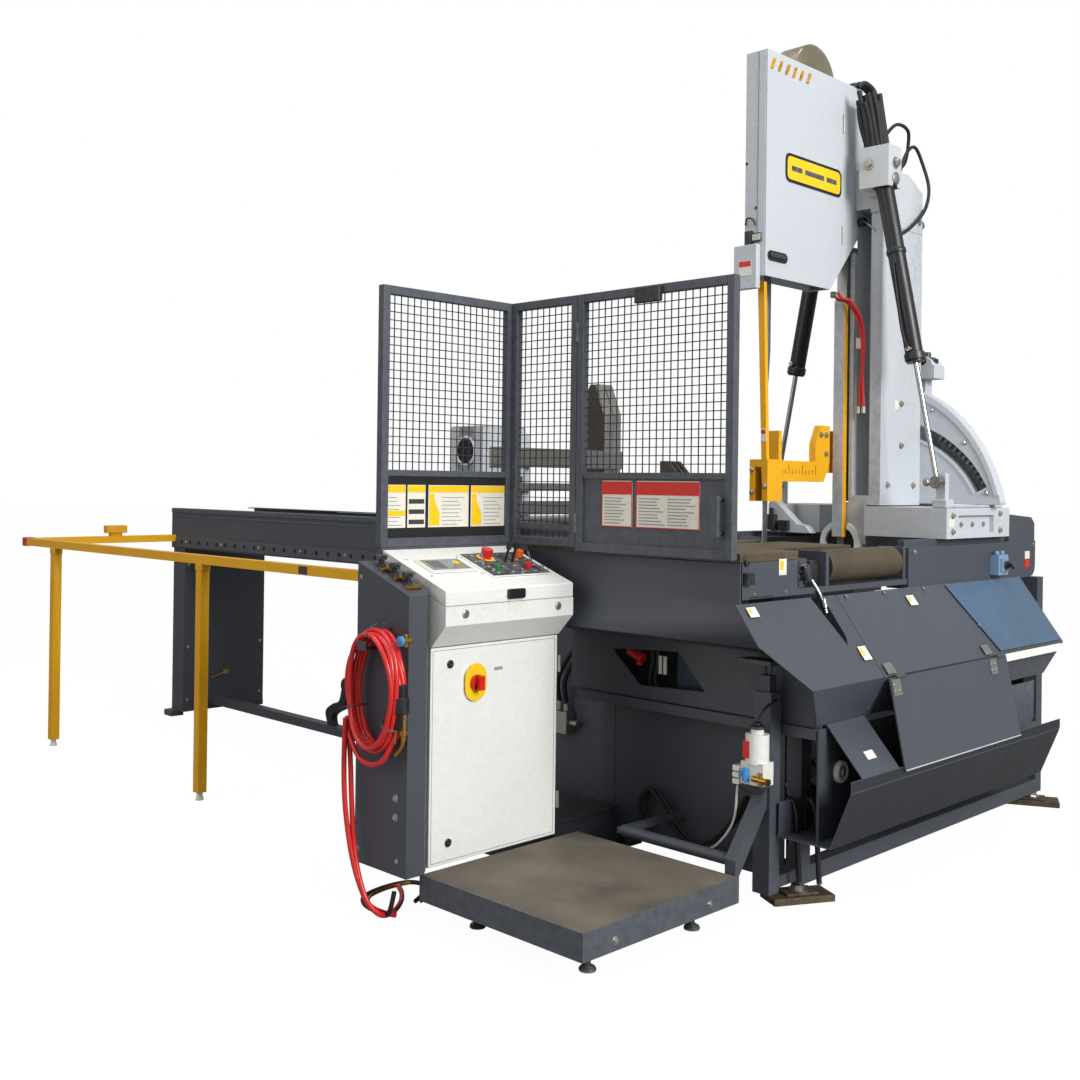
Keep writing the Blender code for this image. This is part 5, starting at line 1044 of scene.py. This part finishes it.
def head_details():
    """Wheel door, latch, hoses, pivot ring and quadrant on the tilting head."""
    x = 0.05
    door_end = -0.09

    # metal cap whose yellow tint and dark blotches are painted reflection and painted shade
    piece("hub_cover", "head", "hub_metal", lathe([
            (0.0, 0.062), (0.004, 0.098), (0.016, 0.1065), (0.028, 0.1075), (0.031, 0.142),
            (0.04, 0.1515), (0.146, 0.1515), (0.1545, 0.143), (0.16, 0.118), (0.163, 0.07),
            (0.164, 0.02)], (-0.2175, -0.12, 3.17), (1, 0, 0), 56))

    # wheel door: edge fold, plate, latch, pull
    piece("door_plate_border", "upper_door", "black",
        prism(rounded((-0.512, -0.098), (2.652, 2.768), 0.028), "X", x + 0.0003, x + 0.0022),
        bevel=0.0006)
    piece("door_plate_field", "upper_door", "sticker_yellow",
        prism(rounded((-0.5, -0.11), (2.664, 2.756), 0.02), "X", x + 0.0023, x + 0.0032), bevel=0.0004)
    piece("door_plate_bars", "upper_door", "black",
        [box((x + 0.0033, x + 0.0039), (a, b), (2.7, 2.72))
            for a, b in ((-0.47, -0.395), (-0.375, -0.235), (-0.215, -0.14))])
    piece("door_top_stripe", "upper_door", "safety_yellow",
        [prism([(a, 3.072), (a + 0.02, 3.072), (a + 0.042, 3.118), (a + 0.022, 3.118)], "X", x + 0.0003,
            x + 0.001) for a in (-0.625, -0.575, -0.525, -0.475, -0.425, -0.375)])
    piece("door_pull_ring", "upper_door", "black",
        prism(stadium(0.135, 0.04, (-0.561, 2.342)), "X", x + 0.0003, x + 0.005), bevel=0.0015)
    piece("door_pull_bar", "upper_door", "ink", prism(stadium(0.11, 0.018, (-0.561, 2.345)), "X",
            x + 0.0052, x + 0.01), bevel=0.003)
    piece("door_hinge_leaves", "head", "zinc", [rod((x + 0.004, door_end + 0.004, z - 0.04),
            (x + 0.004, door_end + 0.004, z + 0.04), 0.0035, 10) for z in (2.5, 2.97)])
    front = -0.64

    def latch(bm):
        add_box(bm, (-0.040, -0.008), (front - 0.016, front - 0.0003), (2.385, 2.440))
        add_box(bm, (-0.008, 0.030), (front - 0.010, front - 0.0003), (2.395, 2.430))
        add_tube(bm, curve_points([(-0.045, front - 0.004, 2.468), (-0.030, front - 0.012, 2.490),
                                   (-0.008, front - 0.012, 2.486), (0.004, front - 0.004, 2.462)], 6),
                                   0.0035, 8)
        for z in (2.53, 2.71):
            at = -0.043 if z > 2.6 else 0.003
            add_rod(bm, (at, front - 0.004, z), (at, front, z), 0.006, 10)

    piece("housing_latch", "head", "black", latch, bevel=0.002)
    piece("housing_latch_bright", "head", "zinc", box((-0.006, 0.032), (front - 0.013, front - 0.0105),
            (2.4, 2.425)), bevel=0.001)
    piece("housing_front_seam", "head", "ink_pale",
        box((0.0075, 0.01), (front - 0.0009, front - 0.0003), (2.262, 3.144)))
    piece("housing_front_fold", "head", "light_grey",
        box((0.012, 0.044), (front - 0.0022, front - 0.0003), (2.262, 3.144)), bevel=0.0008,
        slot="light_grey")

    # limit box on the front, with a small wordless tag
    piece("limit_box", "head", "light_grey", box((-0.082, 0.026), (-0.667, front - 0.0004),
            (2.211, 2.384)), bevel=0.003, slot="light_grey")
    piece("limit_box_tag", "head", "sticker", box((-0.056, 0.002), (-0.6682, -0.6673), (2.262, 2.322)))
    piece("limit_box_tag_red", "head", "sticker_red",
        box((-0.054, 0.0), (-0.6689, -0.6683), (2.298, 2.32)))

    # rear catch with its wire stay
    piece("housing_catch", "head", "black", lathe([
            (0, 0.017), (0.01, 0.02), (0.026, 0.02), (0.03, 0.012)], (x + 0.0003, 0.05, 2.575), (1, 0, 0),
            20))
    piece("housing_stay", "head", "zinc", hose([(x + 0.02, 0.052, 2.575), (0.085, 0.03, 2.57),
            (0.125, 0.01, 2.545), (0.15, 0.016, 2.52)], 6, 0.0025, 8))
    piece("trunnion_bolts", "head", "zinc", [bolt((0.173, -0.0853, 2.779), (0, -1, 0), 0.017, 0.012),
            bolt((0.2623, -0.03, 2.779), (1, 0, 0), 0.017, 0.014)])
    piece("trunnion_pins", "head", "zinc", [lathe([(0, 0.026), (0.006, 0.026), (0.01, 0.018)],
            (0.2623, -0.03, 2.715), (1, 0, 0), 20), lathe([(0, 0.022), (0.006, 0.022), (0.01, 0.014)],
            (-0.2903, 0.2, 2.715), (-1, 0, 0), 20)])

    # hoses on the head
    def bundle(bm):
        for k in range(6):
            dx = (k % 3) * 0.019
            dy = (k // 3) * 0.020
            path = [(0.062 + dx, 0.112 + dy, 3.085 - 0.02 * (k % 2)), (0.075 + dx, 0.110 + dy, 3.01),
                    (0.086 + dx, 0.075 + dy, 2.93), (0.100 + dx, 0.055 + dy, 2.872)]
            add_tube(bm, curve_points(path, 6), 0.0105, 10)

    piece("hose_bundle_top", "head", "rubber", bundle)
    piece("hose_bundle_crown", "head", "rubber", [
            hose([(0.02 + 0.02 * k, -0.01 + 0.015 * k, 3.1465), (0.035 + 0.02 * k, 0.04, 3.165),
            (0.06 + 0.015 * k, 0.09, 3.14), (0.066 + 0.015 * k, 0.108, 3.08)], 6, 0.0105, 10)
            for k in range(3)])
    piece("hose_bundle_bracket", "head", "light_grey",
        [box((HOUSING_FACE, 0.125), (0.074, 0.082), (2.8, 3.06)),
            box((0.098, 0.125), (0.04, 0.075), (2.8003, 2.87))], bevel=0.002, slot="light_grey")
    piece("hose_loops", "head", "rubber", [hose([(0.13, 0.1, 2.93), (0.135, 0.2, 3.01),
            (0.12, 0.33, 3.015), (0.1, 0.37, 2.95), (0.1, 0.345, 2.88), (0.1, 0.3, 2.84),
            (0.1, 0.275, 2.79)], 8, 0.0075, 10), hose([
            (0.105, 0.275, 2.79), (0.1, 0.35, 2.915), (0.1, 0.43, 2.965), (0.11, 0.485, 2.9),
            (0.15, 0.47, 2.78), (0.19, 0.36, 2.66), (0.2, 0.22, 2.56), (0.196, 0.1, 2.5)], 8, 0.0075,
            10)])

    def red_lines(bm):
        for k in range(2):
            d = 0.024 * k
            path = [(0.002 + d, -0.075, 2.262), (0.010 + d, -0.050, 2.238),
                    (0.045 + d, -0.028 - d * 0.3, 2.222),
                    (0.084 + d * 0.6, -0.006, 2.150), (0.098 + d * 0.4, 0.004, 2.05),
                    (0.096 + d * 0.2, 0.006, 1.92), (0.082 + d, 0.008, 1.78)]
            add_tube(bm, curve_points(path, 8), 0.0062, 10)

    piece("red_lines", "head", "hose_red", red_lines, slot="hose_red")
    piece("red_line_fittings", "head", "zinc", [rod((-0.008, -0.076, 2.255), (0.014, -0.066, 2.255),
            0.014, 12), rod((0.082, 0.008, 1.782), (0.082, 0.008, 1.752), 0.01, 10),
            rod((0.106, 0.008, 1.782), (0.106, 0.008, 1.752), 0.01, 10)])
    piece("column_labels", "head", "sticker", [box(*b)
            for b in (((0.06, 0.095), (0.0188, 0.0197), (2.03, 2.075)),
            ((COLUMN_FACE, 0.181), (0.135, 0.165), (1.775, 1.812)))])

    piece("column_bolts", "head", "zinc", [bolt((COLUMN_FACE, y, z), (1, 0, 0), 0.01, 0.008)
            for y, z in ((0.33, 2.6), (0.3, 1.45), (0.08, 1.45), (0.19, 1.62), (0.19, 1.8), (0.33, 2.02))])
    piece("column_corner_bolt", "head", "zinc", [rod((0.15, 0.352, 2.6), (0.15, 0.392, 2.6), 0.013, 14),
            lathe([(0, 0.021), (0.01, 0.021)], (0.15, 0.392, 2.6), (0, 1, 0), 6)])
    piece("column_seam", "head", "ink_pale", box((0.1802, 0.1807), (0.022, 0.358), (2.548, 2.551)))

    low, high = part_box("rear_blade_guard")
    piece("rear_guard_face", "head", "light_grey",
        box((low.x, high.x - 0.001), (low.y - 0.0014, low.y - 0.0003), (low.z + 0.004, high.z - 0.004)))

    # pivot ring on the front of the pivot drum, open where the blade guard runs
    def ring(bm, inner, outer, first, last, y0, y1, steps=22):
        a = [math.radians(first + (last - first) * i / steps) for i in range(steps + 1)]
        outline = [(outer * math.cos(t), 1.20 + outer * math.sin(t)) for t in a]
        outline += [(inner * math.cos(t), 1.20 + inner * math.sin(t)) for t in reversed(a)]
        add_prism(bm, outline, "Y", y0, y1)

    piece("pivot_ring", "head", "white", lambda bm: (
        ring(bm, 0.070, 0.096, -62, 66, 0.001, 0.0196), ring(bm, 0.070, 0.096, 114, 242, 0.001, 0.0196)),
        bevel=0.003)
    # near-black face inside the pivot ring: painted shade in the hollow
    piece("pivot_hollow", "head", "hollow_shade", lambda bm: (
        ring(bm, 0.004, 0.069, -60, 62, 0.0165, 0.0197), ring(bm, 0.004, 0.069, 118, 240, 0.0165, 0.0197)))

    # raised rim of the quadrant and the plate behind its slot
    def arc(rx, rz, first, last, steps=26):
        return [(rx * math.cos(t), 1.20 + rz * math.sin(t))
                for t in (math.radians(first + (last - first) * i / steps) for i in range(steps + 1))]

    piece("quadrant_rim", "head", "light_grey", prism(arc(0.566, 0.697, 18, 72) + arc(0.548, 0.664, 72,
            18), "Y", 0.3535, 0.3602), bevel=0.002, slot="light_grey")
    piece("quadrant_slot_edge", "head", "light_grey",
        prism(arc(0.486, 0.486, 27, 68) + arc(0.474, 0.474, 68, 27), "Y", 0.3565, 0.3602), bevel=0.0015,
        slot="light_grey")
    piece("quadrant_back", "head", "sheet_grey", prism(arc(0.548, 0.548, 24, 68) + arc(0.478, 0.478, 68,
            24), "Y", 0.4108, 0.415))
    piece("quadrant_gear", "head", "dark_steel", [
            prism(arc(0.535, 0.535, d, d + 1.2, 2) + arc(0.512, 0.512, d + 1.2, d, 2), "Y", 0.396,
            0.4107) for d in range(30, 62, 3)])
    piece("quadrant_bolts", "head", "zinc", [bolt((0.6 * math.cos(a) * 0.86, 0.3603,
            1.2 + 0.7 * math.sin(a) * 0.93), (0, -1, 0), 0.008, 0.006)
            for a in (math.radians(d) for d in (20, 42, 63, 82))])
    piece("lower_housing_edge", "head", "sheet_grey", box((HOUSING_FACE, 0.0535), (-0.57, 0.03), (0.98, 1.0)),
        bevel=0.001)


def guide_details():
    """Bolts, scale and label on the blade guide arm."""
    piece("guide_bolts", "guide_arm", "zinc", [bolt((x, -0.6023, z), (0, -1, 0), 0.008, 0.006)
            for x, z in ((-0.029, 1.415), (-0.029, 1.505), (0.032, 1.44))])
    piece("guide_arm_bolts", "guide_arm", "zinc", [
            bolt((ARM_FACE, y, z), (1, 0, 0), 0.009, 0.007)
            for y, z in ((-0.46, 1.5), (-0.4, 1.5), (-0.1, 1.66), (-0.06, 1.58), (-0.06, 1.66))])
    piece("guide_label", "guide_arm", "sticker", box((0.012, 0.036), (-0.6032, -0.6023), (1.615, 1.665)))
    piece("guide_label_mark", "guide_arm", "sticker_red",
        box((0.014, 0.034), (-0.6038, -0.6033), (1.645, 1.66)))
    piece("guide_scale", "guide_arm", "ink", [box((ARM_FACE, -0.0312),
            (-0.44 + 0.025 * k, -0.437 + 0.025 * k), (1.49, 1.53 if k % 4 == 0 else 1.51))
            for k in range(13)])


def cylinder_details():
    """Bands, ports and hoses on the two tilt cylinders."""
    record = {j["name"]: j for j in frame["joints"]}
    for side in ("right", "left"):
        node = "cylinder_" + side
        axis = Vector(record["rod_%s_slide" % side]["axis"]).normalized()
        trunnion = Vector(record["cylinder_%s_pivot" % side]["pos_m"])
        gland = trunnion + axis * 0.74

        piece(node + "_bands", node, "black", [lathe([
                (0, 0.0385), (0.003, 0.0415), (0.03, 0.0415), (0.034, 0.0385)], gland, axis, 28),
                lathe([(0, 0.0385), (0.003, 0.0405), (0.018, 0.0405), (0.021, 0.0385)],
                trunnion + axis * 0.3, axis, 28)], slot="black")
        if side == "right":
            def bundle(bm):
                lean = axis.cross(Vector((0, 1, 0))).normalized()
                for k in range(9):
                    a = math.radians(-10 + k * 24)
                    out = (lean * math.cos(a) - Vector((0, 1, 0)) * math.sin(a)) * 0.047
                    top = trunnion - axis * DICE.uniform(0.33, 0.40) + out
                    wave = Vector((DICE.uniform(-0.006, 0.006), DICE.uniform(-0.006, 0.006), 0))
                    foot = trunnion - axis * 0.140 + out * 0.86
                    add_tube(bm, curve_points([top, top.lerp(foot, 0.4) + wave, foot], 7), 0.0105, 10)

            piece(node + "_hoses", node, "rubber", bundle)
        piece(node + "_port", node, "zinc", rod(gland + Vector((0.0, -0.034, 0.012)),
                gland + Vector((0.0, -0.056, 0.012)), 0.01, 12))
        if side == "right":
            piece(node + "_line", node, "rubber", hose([gland + Vector((0, -0.052, 0.012)),
                    gland + Vector((-0.012, -0.062, 0.05)),
                    trunnion + axis * 0.6 + Vector((-0.01, -0.05, 0)),
                    trunnion + axis * 0.36 + Vector((0, -0.046, 0))], 8, 0.0055, 8))


def shuttle_details():
    """Jaw plates and block covers on the feeding shuttle."""
    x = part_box("shuttle_jaw")[0].x + 0.09
    top = 1.285
    tip = [(x - 0.089, top), (x + 0.089, top), (x + 0.089, 1.764), (x + 0.0295, 1.914), (x, 1.914),
           (x - 0.089, 1.754)]
    piece("shuttle_jaw_plate", "shuttle", "dark_steel", prism(tip, "Y", -0.304, -0.3004), bevel=0.001)
    piece("shuttle_jaw_face", "shuttle", "steel", [
            box((x + 0.0903, x + 0.094), (-0.296, -0.243), (top, 1.762)),
            box((x + 0.0903, x + 0.094), (-0.237, -0.184), (top, 1.762))], bevel=0.001, slot="steel")
    piece("shuttle_jaw_crown", "shuttle", "zinc", [
            prism([(x + 0.0905, 1.766), (x + 0.094, 1.767), (x + 0.034, 1.917), (x + 0.031, 1.916)], "Y",
            *span) for span in ((-0.296, -0.243), (-0.237, -0.184))])
    piece("shuttle_block_cover", "shuttle", "light_grey",
        [box((x + 0.1003, x + 0.104), (-1.088, -0.832), (1.467, 1.678)),
            box((x - 0.099, x + 0.099), (-1.088, -0.832), (1.6803, 1.684)),
            box((x - 0.099, x - 0.05), (-1.0945, -1.0903), (1.467, 1.678)),
            box((x + 0.05, x + 0.099), (-1.0945, -1.0903), (1.467, 1.678))], bevel=0.0015,
        slot="light_grey")
    # near-black disc in the block's bore: painted shade inside the bore
    piece("shuttle_block_bore", "shuttle", "hollow_shade",
        lathe([(0, 0.062), (0.004, 0.062)], (x, -1.0905, 1.575), (0, -1, 0), 28))
    piece("shuttle_block_ring", "shuttle", "light_grey",
        tube([(x + 0.06 * math.cos(a), -1.095, 1.575 + 0.06 * math.sin(a))
            for a in (2 * math.pi * i / 32 for i in range(32))], 0.006, 10, closed=True),
        slot="light_grey")
    # near-black slot face: painted shade in the slot
    piece("shuttle_block_slot", "shuttle", "hollow_shade",
        prism(stadium(0.016, 0.05, (-0.915, 1.575)), "X", x + 0.1043, x + 0.1048))


# ------------------------------------------------------------------ stage
FLOOR_REACH = 60
FLOOR_HEIGHT = -0.0005
LAMPS = (("key", (8.0, -1.6, 4.6), (0.2, -0.5, 1.2), 3.5, 780),
         ("fill", (-2.0, -8.0, 4.0), (-0.8, -0.8, 1.0), 5.0, 110),
         ("top", (0.0, -1.5, 7.5), (0.0, -0.6, 1.0), 5.0, 230))
CAMERA_AT = (2.83, -4.65, 1.44)
CAMERA_TURNS = (45.0142, 0.2352, 0.7328)      # yaw, pitch and roll in degrees
CAMERA_LENS = 41.14
CAMERA_SHIFT = (0.0009, -0.0574)


def stage():
    """White floor and surroundings with three area lamps."""
    floor_mesh = bpy.data.meshes.new("floor")
    corners = [(x * FLOOR_REACH, y * FLOOR_REACH, FLOOR_HEIGHT)
               for x, y in ((-1, -1), (1, -1), (1, 1), (-1, 1))]
    floor_mesh.from_pydata(corners, [], [(0, 1, 2, 3)])
    floor = bpy.data.objects.new("floor", floor_mesh)
    bpy.context.scene.collection.objects.link(floor)
    m = bpy.data.materials.new("floor_white")
    m.use_nodes = True
    tree = m.node_tree
    shader = tree.nodes["Principled BSDF"]
    shader.inputs["Base Color"].default_value = (0.27, 0.27, 0.27, 1)
    shader.inputs["Roughness"].default_value = 0.9
    glow = tree.nodes.new("ShaderNodeEmission")
    glow.inputs["Color"].default_value = (1, 1, 1, 1)
    glow.inputs["Strength"].default_value = 1.13
    mix = tree.nodes.new("ShaderNodeMixShader")
    path = tree.nodes.new("ShaderNodeLightPath")
    share = tree.nodes.new("ShaderNodeMath")
    share.operation = "MULTIPLY"
    share.inputs[1].default_value = 0.86
    tree.links.new(path.outputs["Is Camera Ray"], share.inputs[0])
    tree.links.new(share.outputs[0], mix.inputs[0])
    tree.links.new(shader.outputs[0], mix.inputs[1])
    tree.links.new(glow.outputs[0], mix.inputs[2])
    tree.links.new(mix.outputs[0], tree.nodes["Material Output"].inputs["Surface"])
    floor_mesh.materials.append(m)

    world = bpy.data.worlds.new("studio")
    bpy.context.scene.world = world
    world.use_nodes = True
    back = world.node_tree.nodes["Background"]
    back.inputs["Color"].default_value = (1, 1, 1, 1)
    sight = world.node_tree.nodes.new("ShaderNodeLightPath")
    level = world.node_tree.nodes.new("ShaderNodeMapRange")
    level.inputs["To Min"].default_value = 0.42
    level.inputs["To Max"].default_value = 1.0
    world.node_tree.links.new(sight.outputs["Is Camera Ray"], level.inputs["Value"])
    world.node_tree.links.new(level.outputs["Result"], back.inputs["Strength"])
    bpy.context.scene.view_settings.view_transform = "Standard"

    for name, at, aim, size, power in LAMPS:
        lamp = bpy.data.lights.new(name, "AREA")
        lamp.energy = power
        lamp.size = size
        o = bpy.data.objects.new(name, lamp)
        o.location = at
        o.rotation_mode = "QUATERNION"
        o.rotation_quaternion = (Vector(aim) - Vector(at)).to_track_quat("-Z", "Y")
        bpy.context.scene.collection.objects.link(o)


def camera():
    """Camera matched to the photograph."""
    yaw, pitch, roll = (math.radians(a) for a in CAMERA_TURNS)
    ahead = Vector((-math.sin(yaw) * math.cos(pitch), math.cos(yaw) * math.cos(pitch), math.sin(pitch)))
    level = Vector((math.cos(yaw), math.sin(yaw), 0))
    upright = level.cross(ahead)
    right = level * math.cos(roll) + upright * math.sin(roll)
    up = upright * math.cos(roll) - level * math.sin(roll)
    data = bpy.data.cameras.new("camera")
    data.sensor_width = 36.0
    data.lens = CAMERA_LENS
    data.shift_x, data.shift_y = CAMERA_SHIFT
    cam = bpy.data.objects.new("camera", data)
    turn = Matrix((right, up, -ahead)).transposed().to_4x4()
    cam.matrix_world = Matrix.Translation(CAMERA_AT) @ turn
    bpy.context.scene.collection.objects.link(cam)
    bpy.context.scene.camera = cam


dress_nodes()
guards()
console()
end_panel()
base_details()
lubricator()
infeed()
barrier()
platform()
carriage_details()
head_details()
guide_details()
cylinder_details()
shuttle_details()
stage()
camera()
